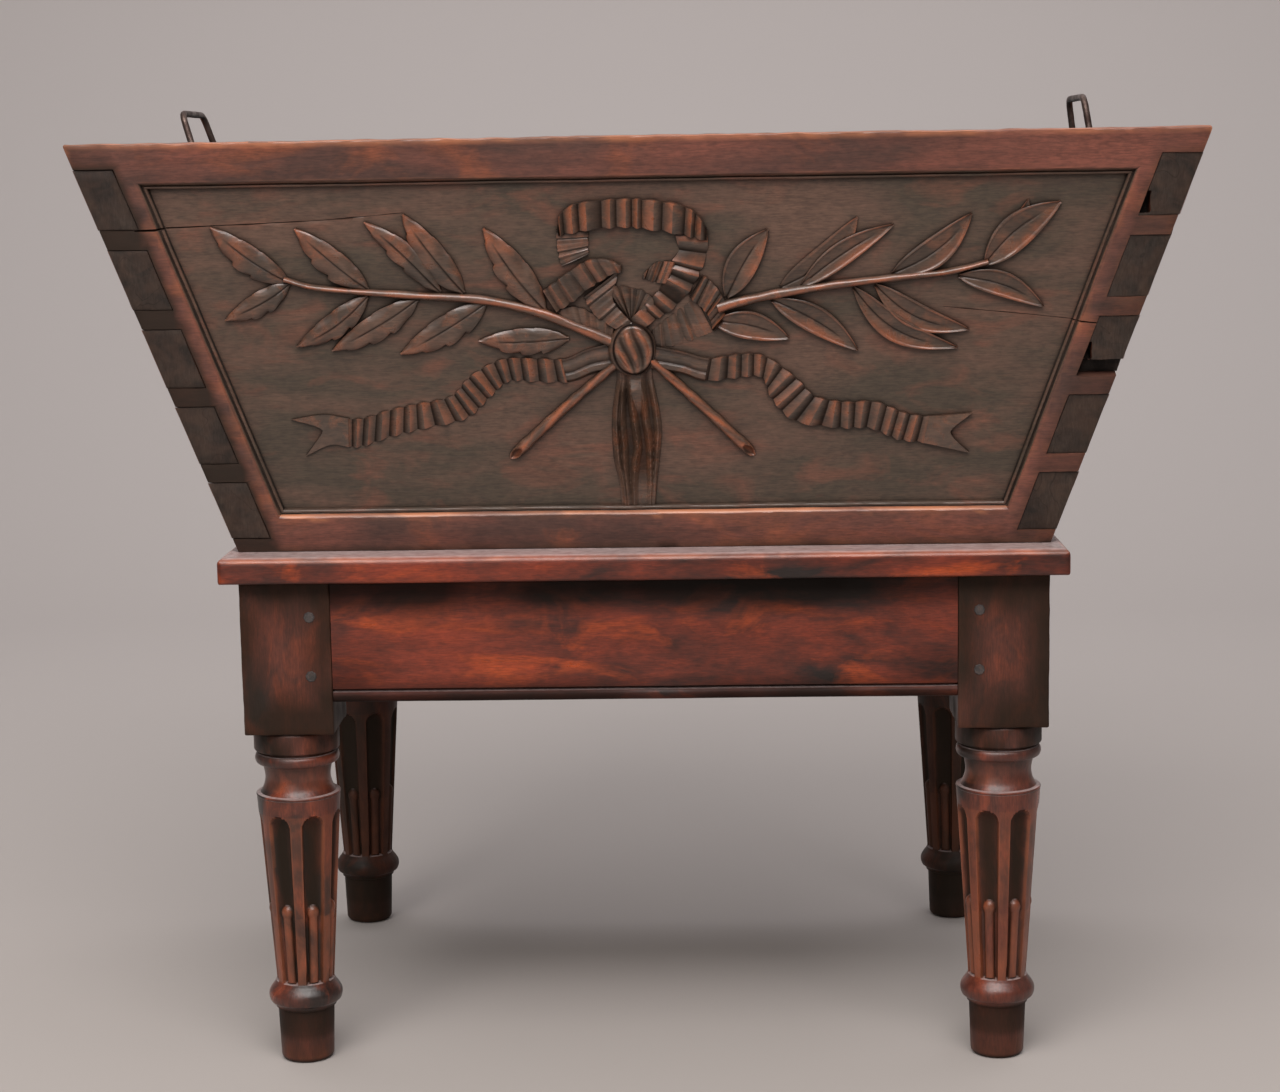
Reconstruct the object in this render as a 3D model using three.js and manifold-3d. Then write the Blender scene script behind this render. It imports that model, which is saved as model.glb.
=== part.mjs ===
// Trough cellarette on a turned stand.
//
// An open trough of four outward-leaning boards, through-dovetailed at its corners, stands loose on a
// moulded frame. The frame lies on four pegged rails and four legs, which are turned, fluted and cabled
// below square blocks. The front board is carved in the solid: two laurel branches tied by a pleated
// ribbon. A soldered sheet liner stands inside the trough and lifts out by two iron bails.
//
// Millimetres, +Z up. The front faces -Y and the origin is on the floor, below the middle.

import * as THREE from "three";
import { mergeVertices } from "three/addons/utils/BufferGeometryUtils.js";
import Module from "manifold-3d";

const wasm = await Module();
wasm.setup();

// Driving dimensions

const RIM_WIDTH = 1040;
const RIM_DEPTH = 640;
const RIM_HEIGHT = 892;
const TROUGH_BASE_WIDTH = 774;
const TROUGH_BASE_DEPTH = 502;
const SEAT_HEIGHT = 506;
const PIECE_GAP = 0.3;
const OVERRUN = 5;

// The trough's boards, its corner joints and its floor
const trough = {
  sideThickness: 36,
  endThickness: 36,
  tailCount: 5,
  topPin: 24,
  basePin: 13,
  pinWidth: 18,
  tailFlareShare: 1 / 6,
  floorThickness: 18,
  floorLift: 7,
  floorHousing: 8,
  battenWidth: 44,
  battenThickness: 28,
  battenClearance: 1.2,
};

// The sunk panel of the front board
const panel = {
  topBorder: 38.5,
  baseBorder: 34.5,
  sideBorder: 17,
  depth: 9,
  bevel: 7,
};

// The stand's moulded frame and its rails. The ledges are what the frame shows beyond the trough's foot
const frame = {
  endLedge: 12,
  sideLedge: 41,
  overhang: 17,
  thickness: 25,
  width: 75,
  round: 7,
  softening: 3,
};
const rail = {
  height: 117,
  thickness: 26,
  setback: 1,
  bead: 5.5,
  quirk: 2.2,
  tenonThickness: 12,
  tenonLength: 45,
  tenonShoulder: 12,
};
const peg = {
  diameter: 11,
  length: 36,
  proud: 0.8,
  inset: 20,
  rise: 57,
  spacing: 57,
  facets: 8,
};

// The legs, from the block down to the foot
const leg = {
  block: 86,
  blockHeight: 148,
  collarRadius: 41.3,
  collarHeight: 21,
  grooveRadius: 38.6,
  grooveHeight: 2.5,
  beadRadius: 40.7,
  beadHeight: 11,
  neckTopRadius: 34.4,
  neckRadius: 31.5,
  neckHeight: 29,
  flareRadius: 36.5,
  shoulderRadius: 40.7,
  shoulderHeight: 3,
  columnTopRadius: 40.3,
  columnBaseRadius: 28.1,
  ringRadius: 35.8,
  ringHeight: 23,
  filletRadius: 29.4,
  filletHeight: 4,
  footHeight: 53,
  footTopRadius: 27.4,
  footBaseRadius: 25.7,
  footRound: 5.5,
  facets: 14,
};
const flute = {
  count: 7,
  phaseShare: -0.44,
  topDrop: 16,
  topHalfWidth: 9.6,
  baseHalfWidth: 7.4,
  depth: 5.2,
  cableHeight: 71,
  cableHalfWidth: 3.8,
  cableRise: 4,
  budRadius: 6,
};

// The liner with its rim wire, and the bails in their ears
const liner = {
  sheet: 1.5,
  footGap: 6,
  rimGap: 21,
  wireRadius: 3,
  wireDrop: 1,
  wireFacets: 6,
};
const bail = {
  rodRadius: 3.5,
  reach: 45,
  topHalfSpan: 53,
  pivotHalfSpan: 61,
  pinLength: 24,
  topBend: 12,
  footBend: 5,
  pivotDrop: 12,
  pivotInset: 7.1,
  rightLeanDegrees: 9,
  facets: 6,
};
const ear = {
  width: 14,
  sideGap: 1,
  eyeWall: 2.2,
  strap: 2.5,
  strapFall: 28,
  strapRise: 3,
  facets: 8,
};

// Materials

const troughWood = new THREE.MeshStandardMaterial({ color: "#6f4335", roughness: 0.42, metalness: 0 });
const endGrain = new THREE.MeshStandardMaterial({ color: "#463730", roughness: 0.5, metalness: 0 });
const standWood = new THREE.MeshStandardMaterial({ color: "#7c3a24", roughness: 0.32, metalness: 0 });
const pegWood = new THREE.MeshStandardMaterial({ color: "#4a3630", roughness: 0.5, metalness: 0 });
const insideWood = new THREE.MeshStandardMaterial({ color: "#84674f", roughness: 0.7, metalness: 0 });
const iron = new THREE.MeshStandardMaterial({ color: "#5a4b45", roughness: 0.45, metalness: 0.85 });
const zinc = new THREE.MeshStandardMaterial({ color: "#8c9093", roughness: 0.5, metalness: 0.8 });

// Solids

const product = new THREE.Group();

function addPiece(name, solid, material) {
  const mesh = new THREE.Mesh(geometryOf(solid), material);
  mesh.name = name;
  product.add(mesh);
}

function geometryOf(solid) {
  const { vertProperties, triVerts } = solid.getMesh();
  const geometry = new THREE.BufferGeometry();
  geometry.setAttribute("position", new THREE.BufferAttribute(new Float32Array(vertProperties), 3));
  geometry.setIndex(new THREE.BufferAttribute(new Uint32Array(triVerts), 1));
  geometry.computeVertexNormals();
  return geometry;
}

function solidOf(geometry) {
  const plain = geometry.clone();
  plain.deleteAttribute("normal");
  plain.deleteAttribute("uv");
  const merged = mergeVertices(plain);
  const index = merged.index.array;
  const triVerts = [];
  for (let i = 0; i < index.length; i += 3) {
    const [a, b, c] = [index[i], index[i + 1], index[i + 2]];
    if (a !== b && b !== c && c !== a) triVerts.push(a, b, c);
  }
  return new wasm.Manifold(
    new wasm.Mesh({
      numProp: 3,
      vertProperties: new Float32Array(merged.attributes.position.array),
      triVerts: new Uint32Array(triVerts),
    }),
  );
}

function joined(solids) {
  return solids.reduce((whole, solid) => whole.add(solid));
}

// A closed skin over rings of points, all with the same number of points, with a flat cap at each end
function loft(rings) {
  const count = rings[0].length;
  const positions = rings.flat().flatMap((point) => [point.x, point.y, point.z]);
  const index = [];
  for (let r = 0; r + 1 < rings.length; r += 1) {
    for (let i = 0; i < count; i += 1) {
      const [a, b] = [r * count + i, r * count + ((i + 1) % count)];
      index.push(a, b, b + count, a, b + count, a + count);
    }
  }
  const last = (rings.length - 1) * count;
  for (const [a, b, c] of capTriangles(rings[0])) index.push(a, c, b);
  for (const [a, b, c] of capTriangles(rings.at(-1))) index.push(last + a, last + b, last + c);
  const geometry = new THREE.BufferGeometry();
  geometry.setAttribute("position", new THREE.BufferAttribute(new Float32Array(positions), 3));
  geometry.setIndex(index);
  if (signedVolume(geometry) < 0) geometry.setIndex(index.reverse());
  return geometry;
}

// The triangles of a flat ring, which turn the way its points do
function capTriangles(ring) {
  const normal = new THREE.Vector3();
  ring.forEach((point, i) => {
    normal.add(new THREE.Vector3().crossVectors(point, ring[(i + 1) % ring.length]));
  });
  normal.normalize();
  const along = new THREE.Vector3().subVectors(ring[1], ring[0]).normalize();
  const across = new THREE.Vector3().crossVectors(normal, along);
  const flat = ring.map((point) => new THREE.Vector2(point.dot(along), point.dot(across)));
  return THREE.ShapeUtils.triangulateShape(flat, []);
}

function signedVolume(geometry) {
  const points = geometry.attributes.position;
  const corner = (i) => new THREE.Vector3().fromBufferAttribute(points, geometry.index.array[i]);
  let sum = 0;
  for (let i = 0; i < geometry.index.count; i += 3) {
    sum += corner(i).dot(corner(i + 1).cross(corner(i + 2)));
  }
  return sum;
}

function point(x, y, z) {
  return new THREE.Vector3(x, y, z);
}

// A box between two levels, which may differ in half-width and half-depth
function taperedBox(low, high) {
  const ring = ({ z, halfWidth, halfDepth }) => [
    point(-halfWidth, -halfDepth, z),
    point(halfWidth, -halfDepth, z),
    point(halfWidth, halfDepth, z),
    point(-halfWidth, halfDepth, z),
  ];
  return solidOf(loft([ring(low), ring(high)]));
}

function boxBetween(low, high) {
  const size = new THREE.Vector3().subVectors(high, low);
  const centre = new THREE.Vector3().addVectors(low, high).divideScalar(2);
  const geometry = new THREE.BoxGeometry(Math.abs(size.x), Math.abs(size.y), Math.abs(size.z));
  return solidOf(geometry.translate(centre.x, centre.y, centre.z));
}

// A round rod from one point to another along X or Y
function rodBetween(from, to, radius, facets) {
  const along = new THREE.Vector3().subVectors(to, from);
  const geometry = new THREE.CylinderGeometry(radius, radius, along.length(), facets);
  const turn = new THREE.Quaternion().setFromUnitVectors(point(0, 1, 0), along.clone().normalize());
  const middle = new THREE.Vector3().addVectors(from, to).divideScalar(2);
  return solidOf(geometry.applyQuaternion(turn).translate(middle.x, middle.y, middle.z));
}

// A tube along points that lie in one plane, with its corners mitred
function tubeRings(path, normal, section, closed) {
  return path.map((at, i) => {
    const before = closed || i > 0 ? path[(i + path.length - 1) % path.length] : at;
    const after = closed || i + 1 < path.length ? path[(i + 1) % path.length] : at;
    const arriving = new THREE.Vector3().subVectors(at, before).normalize();
    const leaving = new THREE.Vector3().subVectors(after, at).normalize();
    const along = new THREE.Vector3().addVectors(arriving, leaving).normalize();
    const stretch = 1 / Math.max(along.dot(leaving), along.dot(arriving));
    const across = new THREE.Vector3().crossVectors(along, normal);
    return section(i).map(([side, rise]) =>
      at.clone().addScaledVector(across, side * stretch).addScaledVector(normal, rise),
    );
  });
}

function circle(radius, facets) {
  return Array.from({ length: facets }, (unused, i) => {
    const angle = ((i + 0.5) / facets) * 2 * Math.PI;
    return [radius * Math.cos(angle), radius * Math.sin(angle)];
  });
}

// The trough's outer faces at a height, moved in along X and Y
const troughBase = SEAT_HEIGHT + PIECE_GAP;
const troughHeight = RIM_HEIGHT - troughBase;
const endSplay = (RIM_WIDTH - TROUGH_BASE_WIDTH) / 2 / troughHeight;
const sideSplay = (RIM_DEPTH - TROUGH_BASE_DEPTH) / 2 / troughHeight;
const endRun = trough.endThickness * Math.hypot(1, endSplay);
const sideRun = trough.sideThickness * Math.hypot(1, sideSplay);

function troughAt(z, insetX, insetY) {
  return {
    z,
    halfWidth: TROUGH_BASE_WIDTH / 2 + (z - troughBase) * endSplay - insetX,
    halfDepth: TROUGH_BASE_DEPTH / 2 + (z - troughBase) * sideSplay - insetY,
  };
}

function troughBlock(lowZ, highZ, insetX, insetY) {
  return taperedBox(troughAt(lowZ, insetX, insetY), troughAt(highZ, insetX, insetY));
}

// One wall of a tapered box, on the -Y or +Y side or at the -X or +X end
function sideWall(at, side, lowZ, highZ, insetX, outerY, innerY) {
  const ring = (z) => {
    const { halfWidth } = at(z, insetX, outerY);
    const [outer, inner] = [side * at(z, 0, outerY).halfDepth, side * at(z, 0, innerY).halfDepth];
    return [
      point(-halfWidth, outer, z),
      point(halfWidth, outer, z),
      point(halfWidth, inner, z),
      point(-halfWidth, inner, z),
    ];
  };
  return solidOf(loft([ring(lowZ), ring(highZ)]));
}

function endWall(at, side, lowZ, highZ, insetY, outerX, innerX) {
  const ring = (z) => {
    const { halfDepth } = at(z, outerX, insetY);
    const [outer, inner] = [side * at(z, outerX, 0).halfWidth, side * at(z, innerX, 0).halfWidth];
    return [
      point(outer, -halfDepth, z),
      point(outer, halfDepth, z),
      point(inner, halfDepth, z),
      point(inner, -halfDepth, z),
    ];
  };
  return solidOf(loft([ring(lowZ), ring(highZ)]));
}

// The tails of the end boards, as bars along X. Each flares towards the outer face of the side board
const tailHeight =
  (troughHeight - trough.topPin - trough.basePin - (trough.tailCount - 1) * trough.pinWidth) /
  trough.tailCount;

function tailBars(growth) {
  const bars = [];
  for (const side of [-1, 1]) {
    for (let i = 0; i < trough.tailCount; i += 1) {
      const low = troughBase + trough.basePin + i * (tailHeight + trough.pinWidth);
      const corner = (edge, turn, depth) => {
        const z = edge - turn * (growth - trough.tailFlareShare * depth);
        return [side * (troughAt(z, 0, 0).halfDepth - depth), z];
      };
      const deep = sideRun + OVERRUN;
      const section = [
        corner(low, 1, -OVERRUN),
        corner(low, 1, deep),
        corner(low + tailHeight, -1, deep),
        corner(low + tailHeight, -1, -OVERRUN),
      ];
      const reach = RIM_WIDTH / 2 + OVERRUN;
      const ring = (x) => section.map(([y, z]) => point(x, y, z));
      bars.push(solidOf(loft([ring(-reach), ring(reach)])));
    }
  }
  return joined(bars);
}

const floorLow = troughBase + trough.floorLift;
const floorHigh = floorLow + trough.floorThickness;
const floorSeat = troughBlock(
  floorLow - PIECE_GAP,
  floorHigh + PIECE_GAP,
  endRun - trough.floorHousing - PIECE_GAP,
  sideRun - trough.floorHousing - PIECE_GAP,
);
const betweenEnds = troughBlock(
  troughBase - OVERRUN,
  RIM_HEIGHT + OVERRUN,
  endRun + PIECE_GAP,
  -OVERRUN * 2,
);
const tailSockets = tailBars(PIECE_GAP).subtract(betweenEnds);

function sideBoard(side) {
  return sideWall(troughAt, side, troughBase, RIM_HEIGHT, 0, 0, sideRun)
    .subtract(tailSockets)
    .subtract(floorSeat);
}

// An end board reaches the side boards' inner faces, and only its tails pass them
function endBoard(side) {
  const slab = endWall(troughAt, side, troughBase, RIM_HEIGHT, 0, 0, endRun);
  const body = troughBlock(troughBase - OVERRUN, RIM_HEIGHT + OVERRUN, -OVERRUN * 2, sideRun + PIECE_GAP);
  return slab.intersect(body.add(tailBars(0))).subtract(floorSeat);
}

// The carved front

// Places on the front board's outer face: x along it, v up its slope, h out of it
const faceHeight = troughHeight * Math.hypot(1, sideSplay);
const panelLow = panel.baseBorder;
const panelHeight = faceHeight - panel.topBorder - panel.baseBorder;
const ground = -panel.depth;

const faceFrame = (() => {
  const lean = Math.atan(sideSplay);
  const up = point(0, -Math.sin(lean), Math.cos(lean));
  const out = point(0, -Math.cos(lean), -Math.sin(lean));
  return new THREE.Matrix4()
    .makeBasis(point(1, 0, 0), up, out)
    .setPosition(0, -TROUGH_BASE_DEPTH / 2, troughBase);
})();

function panelHalfWidth(v) {
  const z = troughBase + (v / faceHeight) * troughHeight;
  return troughAt(z, endRun + panel.sideBorder, 0).halfWidth;
}
const panelHalfTop = panelHalfWidth(panelLow + panelHeight);

function onPanel([xShare, vShare], h) {
  return point(xShare * panelHalfTop, panelLow + vShare * panelHeight, h);
}

function onFace(geometry) {
  return solidOf(geometry.applyMatrix4(faceFrame));
}

// The sunk ground, with a bevel all round
function panelRecess() {
  const ring = (inset, h) => {
    const [low, high] = [panelLow + inset, panelLow + panelHeight - inset];
    return [
      point(-panelHalfWidth(low) + inset, low, h),
      point(panelHalfWidth(low) - inset, low, h),
      point(panelHalfWidth(high) - inset, high, h),
      point(-panelHalfWidth(high) + inset, high, h),
    ];
  };
  const opening = (OVERRUN / panel.depth) * panel.bevel;
  return onFace(loft([ring(-opening, OVERRUN), ring(panel.bevel, ground)]));
}

// Relief of the carving above the sunk ground, and how its forms are divided
const relief = {
  root: 2,
  leaf: 6.4,
  stem: 6.6,
  stemHalfWidth: 3.8,
  ribbon: 7.4,
  pleat: 2.6,
  knot: 9.5,
  knotHalfWidth: 22.5,
  knotHalfHeight: 26,
  bundle: 6.8,
};

// Each leaf: its base and tip as shares of the panel, its width as a share of the panel's height and its
// bow as a share of its length
const leftLeafShares = [
  { base: [-0.713, 0.706], tip: [-0.863, 0.87], width: 0.078, bow: 0.05 },
  { base: [-0.71, 0.7], tip: [-0.846, 0.596], width: 0.066, bow: 0.04 },
  { base: [-0.55, 0.68], tip: [-0.692, 0.862], width: 0.078, bow: 0.03 },
  { base: [-0.402, 0.67], tip: [-0.55, 0.878], width: 0.066, bow: -0.03 },
  { base: [-0.355, 0.666], tip: [-0.471, 0.899], width: 0.081, bow: 0.03 },
  { base: [-0.19, 0.61], tip: [-0.309, 0.855], width: 0.087, bow: 0.02 },
  { base: [-0.551, 0.66], tip: [-0.702, 0.514], width: 0.069, bow: 0.05 },
  { base: [-0.449, 0.65], tip: [-0.63, 0.5], width: 0.075, bow: 0.03 },
  { base: [-0.309, 0.635], tip: [-0.489, 0.488], width: 0.081, bow: 0.03 },
  { base: [-0.143, 0.526], tip: [-0.327, 0.524], width: 0.075, bow: 0.02 },
];
const rightLeafShares = [
  { base: [0.181, 0.643], tip: [0.265, 0.839], width: 0.081, bow: 0.05 },
  { base: [0.292, 0.67], tip: [0.446, 0.87], width: 0.081, bow: -0.1 },
  { base: [0.333, 0.672], tip: [0.518, 0.848], width: 0.063, bow: 0.04 },
  { base: [0.518, 0.703], tip: [0.675, 0.876], width: 0.078, bow: -0.08 },
  { base: [0.702, 0.735], tip: [0.788, 0.913], width: 0.063, bow: -0.14 },
  { base: [0.704, 0.728], tip: [0.852, 0.906], width: 0.09, bow: 0.06 },
  { base: [0.156, 0.57], tip: [0.308, 0.519], width: 0.075, bow: 0.06 },
  { base: [0.274, 0.632], tip: [0.448, 0.481], width: 0.072, bow: 0.05 },
  { base: [0.439, 0.665], tip: [0.651, 0.485], width: 0.069, bow: -0.12 },
  { base: [0.483, 0.672], tip: [0.674, 0.538], width: 0.069, bow: -0.1 },
  { base: [0.652, 0.695], tip: [0.824, 0.603], width: 0.066, bow: 0.08 },
];
const leafStationShares = [0, 0.2, 0.45, 0.75, 1];
const leftLeafSectionShares = [[-1, 0.4], [-0.5, 0.95], [0, 0.6], [0.5, 1], [1, 0.4]];
const rightLeafSectionShares = [[-1, 0.65], [-0.72, 0.85], [0, 0.4], [0.72, 0.85], [1, 0.65]];
const leafTipShare = 0.07;
const leafFullness = 0.8;

function leafSolid({ base, tip, width, bow }, sectionShares) {
  const from = onPanel(base, ground);
  const along = onPanel(tip, ground).sub(from);
  const across = point(-along.y, along.x, 0).normalize();
  const rings = leafStationShares.map((share) => {
    const swell = Math.max(Math.sin(Math.PI * share ** leafFullness), leafTipShare);
    const halfWidth = ((width * panelHeight) / 2) * swell;
    const rise = relief.leaf * Math.sqrt(swell);
    const centre = from
      .clone()
      .addScaledVector(along, share)
      .addScaledVector(across, bow * along.length() * Math.sin(Math.PI * share));
    const at = (side, h) => centre.clone().addScaledVector(across, side * halfWidth).setZ(ground + h);
    return [
      ...sectionShares.map(([side, heightShare]) => at(side, heightShare * rise)),
      at(1, -relief.root),
      at(-1, -relief.root),
    ];
  });
  return onFace(loft(rings));
}

// Stems, as shares of the panel along their middle, each with its own thickness at the two ends
const stemShares = [
  {
    path: [
      [-0.03, 0.5], [-0.126, 0.561], [-0.204, 0.607], [-0.319, 0.646],
      [-0.467, 0.663], [-0.647, 0.687], [-0.72, 0.715],
    ],
    ends: [1.1, 0.55],
  },
  {
    path: [
      [0.01, 0.52], [0.1, 0.583], [0.181, 0.619], [0.282, 0.65],
      [0.407, 0.676], [0.632, 0.709], [0.71, 0.735],
    ],
    ends: [1.05, 0.55],
  },
  { path: [[-0.02, 0.48], [-0.14, 0.338], [-0.262, 0.178]], ends: [0.95, 1.25] },
  { path: [[0.01, 0.48], [0.126, 0.323], [0.227, 0.178]], ends: [0.95, 1.25] },
];
const stemSectionShares = [[-1, 0.35], [-0.55, 0.9], [0.1, 1], [0.75, 0.75], [1, 0.35]];

function stemSolid({ path, ends }) {
  const thickness = (i) => ends[0] + (ends[1] - ends[0]) * (i / (path.length - 1));
  const places = path.map((share) => onPanel(share, ground));
  const rings = tubeRings(places, point(0, 0, 1), (i) => {
    const halfWidth = relief.stemHalfWidth * thickness(i);
    return [
      ...stemSectionShares.map(([side, heightShare]) => [side * halfWidth, heightShare * relief.stem]),
      [halfWidth, -relief.root],
      [-halfWidth, -relief.root],
    ];
  }, false);
  return onFace(loft(rings));
}

// Lengths of pleated ribbon. Each follows its own middle line and is half as wide as its share of the
// panel's height says. The pleats run across it and rise and fall in turn
const ribbonShares = [
  {
    path: [
      [-0.145, 0.8], [-0.118, 0.865], [-0.06, 0.893], [-0.008, 0.893],
      [0.06, 0.885], [0.108, 0.86], [0.132, 0.81],
    ],
    half: [0.05, 0.046],
    pleats: 9,
    rise: 1,
  },
  { path: [[-0.131, 0.83], [-0.133, 0.735]], half: [0.045, 0.045], pleats: 2, rise: 0.75 },
  { path: [[-0.045, 0.745], [-0.11, 0.7], [-0.175, 0.635]], half: [0.05, 0.05], pleats: 5, rise: 1 },
  {
    path: [[0.112, 0.83], [0.108, 0.76], [0.088, 0.7], [0.06, 0.64], [0.005, 0.575]],
    half: [0.045, 0.028],
    pleats: 6,
    rise: 0.8,
  },
  { path: [[0.03, 0.735], [0.085, 0.715]], half: [0.03, 0.04], pleats: 2, rise: 0.95 },
  {
    path: [[0.1, 0.69], [0.15, 0.64], [0.14, 0.575], [0.08, 0.53], [0.02, 0.5]],
    half: [0.05, 0.03],
    pleats: 5,
    rise: 0.9,
  },
  { path: [[-0.05, 0.7], [-0.075, 0.64], [-0.03, 0.57]], half: [0.04, 0.026], pleats: 3, rise: 0.7 },
  {
    path: [
      [-0.04, 0.47], [-0.147, 0.433], [-0.211, 0.434], [-0.276, 0.439], [-0.332, 0.371], [-0.38, 0.318],
      [-0.459, 0.299], [-0.52, 0.275], [-0.585, 0.248], [-0.654, 0.271], [-0.695, 0.243],
    ],
    half: [0.034, 0.042],
    pleats: 16,
    rise: 0.85,
  },
  {
    path: [
      [0.02, 0.47], [0.139, 0.423], [0.2, 0.438], [0.257, 0.434], [0.298, 0.367], [0.34, 0.307],
      [0.417, 0.288], [0.486, 0.285], [0.54, 0.25], [0.595, 0.239], [0.67, 0.235],
    ],
    half: [0.034, 0.042],
    pleats: 16,
    rise: 0.85,
  },
];

function ribbonSolid({ path, half, pleats, rise }) {
  const curve = new THREE.CatmullRomCurve3(path.map((share) => onPanel(share, ground)));
  const places = curve.getSpacedPoints(2 * pleats);
  const rings = tubeRings(places, point(0, 0, 1), (i) => {
    const halfWidth = (half[0] + (half[1] - half[0]) * (i / (places.length - 1))) * panelHeight;
    const height = relief.ribbon * rise - (i % 2) * relief.pleat;
    return [
      [-halfWidth, height],
      [halfWidth, height],
      [halfWidth, -relief.root],
      [-halfWidth, -relief.root],
    ];
  }, false);
  return onFace(loft(rings));
}

// The knot is a domed oval, and the bundle below it swells and narrows in reeds
const knotShares = [-0.015, 0.493];
const bundleStationShares = [
  { at: [-0.013, 0.44], half: 0.055 },
  { at: [-0.01, 0.35], half: 0.07 },
  { at: [-0.006, 0.26], half: 0.079 },
  { at: [-0.006, 0.14], half: 0.066 },
  { at: [-0.006, 0.035], half: 0.05 },
];
const bundleReedCount = 5;
const bundleCrownShare = 0.8;

function knotSolid() {
  const dome = new THREE.SphereGeometry(1, 12, 6);
  const centre = onPanel(knotShares, ground);
  dome.scale(relief.knotHalfWidth, relief.knotHalfHeight, relief.knot);
  return onFace(dome.translate(centre.x, centre.y, centre.z));
}

function bundleSolid() {
  const steps = 2 * bundleReedCount;
  const rings = bundleStationShares.map(({ at, half }) => {
    const centre = onPanel(at, ground);
    const halfWidth = half * panelHeight;
    const top = Array.from({ length: steps + 1 }, (unused, i) => {
      const side = (2 * i) / steps - 1;
      const crown = relief.bundle * Math.sqrt(1 - (side * bundleCrownShare) ** 2);
      const groove = ((i + 1) % 2) * relief.pleat;
      return point(centre.x + side * halfWidth, centre.y, ground + crown - groove);
    });
    const root = ground - relief.root;
    const foot = [halfWidth, -halfWidth].map((reach) => point(centre.x + reach, centre.y, root));
    return [...top, ...foot];
  });
  return onFace(loft(rings));
}

function carving() {
  return joined([
    ...leftLeafShares.map((share) => leafSolid(share, leftLeafSectionShares)),
    ...rightLeafShares.map((share) => leafSolid(share, rightLeafSectionShares)),
    ...stemShares.map(stemSolid),
    ...ribbonShares.map(ribbonSolid),
    bundleSolid(),
    knotSolid(),
  ]);
}

addPiece("front_board", sideBoard(-1).subtract(panelRecess()).add(carving()), troughWood);
addPiece("back_board", sideBoard(1), troughWood);
addPiece("left_end_board", endBoard(-1), endGrain);
addPiece("right_end_board", endBoard(1), endGrain);

// Two floor planks lie in the boards' grooves, and two battens below them drop inside the stand's frame
const floorSlab = troughBlock(
  floorLow,
  floorHigh,
  endRun - trough.floorHousing,
  sideRun - trough.floorHousing,
);
const frameHalfX = TROUGH_BASE_WIDTH / 2 + frame.endLedge;
const frameHalfY = TROUGH_BASE_DEPTH / 2 + frame.sideLedge;
const battenHalfLength = Math.min(
  TROUGH_BASE_DEPTH / 2 - sideRun - PIECE_GAP,
  frameHalfY - frame.width - trough.battenClearance,
);

for (const [name, side] of [["front_floor_plank", -1], ["back_floor_plank", 1]]) {
  const half = boxBetween(
    point(-RIM_WIDTH / 2, (side * PIECE_GAP) / 2, 0),
    point(RIM_WIDTH / 2, (side * RIM_DEPTH) / 2, RIM_HEIGHT),
  );
  addPiece(name, floorSlab.intersect(half), insideWood);
}
for (const [name, side] of [["left_floor_batten", -1], ["right_floor_batten", 1]]) {
  const outer = frameHalfX - frame.width - trough.battenClearance;
  const high = floorLow - PIECE_GAP;
  const solid = boxBetween(
    point(side * (outer - trough.battenWidth), -battenHalfLength, high - trough.battenThickness),
    point(side * outer, battenHalfLength, high),
  );
  addPiece(name, solid, insideWood);
}

// The stand's frame: four lengths, mitred, with the top arris rounded over and the lower one softened
const frameLow = SEAT_HEIGHT - frame.thickness;
const roundShares = [0, 0.33, 0.67, 1];

function frameSection() {
  const arc = (radius, z, from) =>
    roundShares.map((share) => {
      const angle = from + (share * Math.PI) / 2;
      return [radius - radius * Math.cos(angle), z + radius * Math.sin(angle)];
    });
  return [
    ...arc(frame.softening, frameLow + frame.softening, -Math.PI / 2),
    ...arc(frame.round, SEAT_HEIGHT - frame.round, 0),
    [frame.width, SEAT_HEIGHT],
    [frame.width, frameLow],
  ];
}

function frameLength(place) {
  const mitre = PIECE_GAP / Math.SQRT2;
  const ends = [-1, 1].map((end) =>
    frameSection().map(([inset, z]) =>
      place(end, frameHalfX - inset, frameHalfY - inset, mitre, z),
    ),
  );
  return solidOf(loft(ends));
}

const frameLengths = {
  front_frame_moulding: (end, x, y, mitre, z) => point(end * (x - mitre), -y, z),
  back_frame_moulding: (end, x, y, mitre, z) => point(end * (x - mitre), y, z),
  left_frame_moulding: (end, x, y, mitre, z) => point(-x, end * (y - mitre), z),
  right_frame_moulding: (end, x, y, mitre, z) => point(x, end * (y - mitre), z),
};
for (const [name, place] of Object.entries(frameLengths)) {
  addPiece(name, frameLength(place), standWood);
}

// Rails, with a bead and quirk run along the lower edge of the outer face, and a tenon at each end
const standWidth = 2 * (frameHalfX - frame.overhang);
const standDepth = 2 * (frameHalfY - frame.overhang);
const standTop = frameLow - PIECE_GAP;
const railLow = standTop - rail.height;
const railMiddle = rail.setback + rail.thickness / 2;
const beadShares = [0, 0.4, 0.8, 1.2, 1.6, 2];

function railSection(beaded) {
  const outer = rail.setback;
  const inner = rail.setback + rail.thickness;
  if (!beaded) return [[outer, railLow], [outer, standTop], [inner, standTop], [inner, railLow]];
  const bead = beadShares.map((share) => {
    const angle = (share * Math.PI) / 2;
    return [outer + rail.bead * (1 - Math.sin(angle)), railLow + rail.bead * (1 - Math.cos(angle))];
  });
  const top = railLow + 2 * rail.bead;
  return [
    [inner, railLow],
    ...bead,
    [outer + rail.bead, top + rail.quirk / 2],
    [outer, top + rail.quirk],
    [outer, standTop],
    [inner, standTop],
  ];
}

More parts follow.
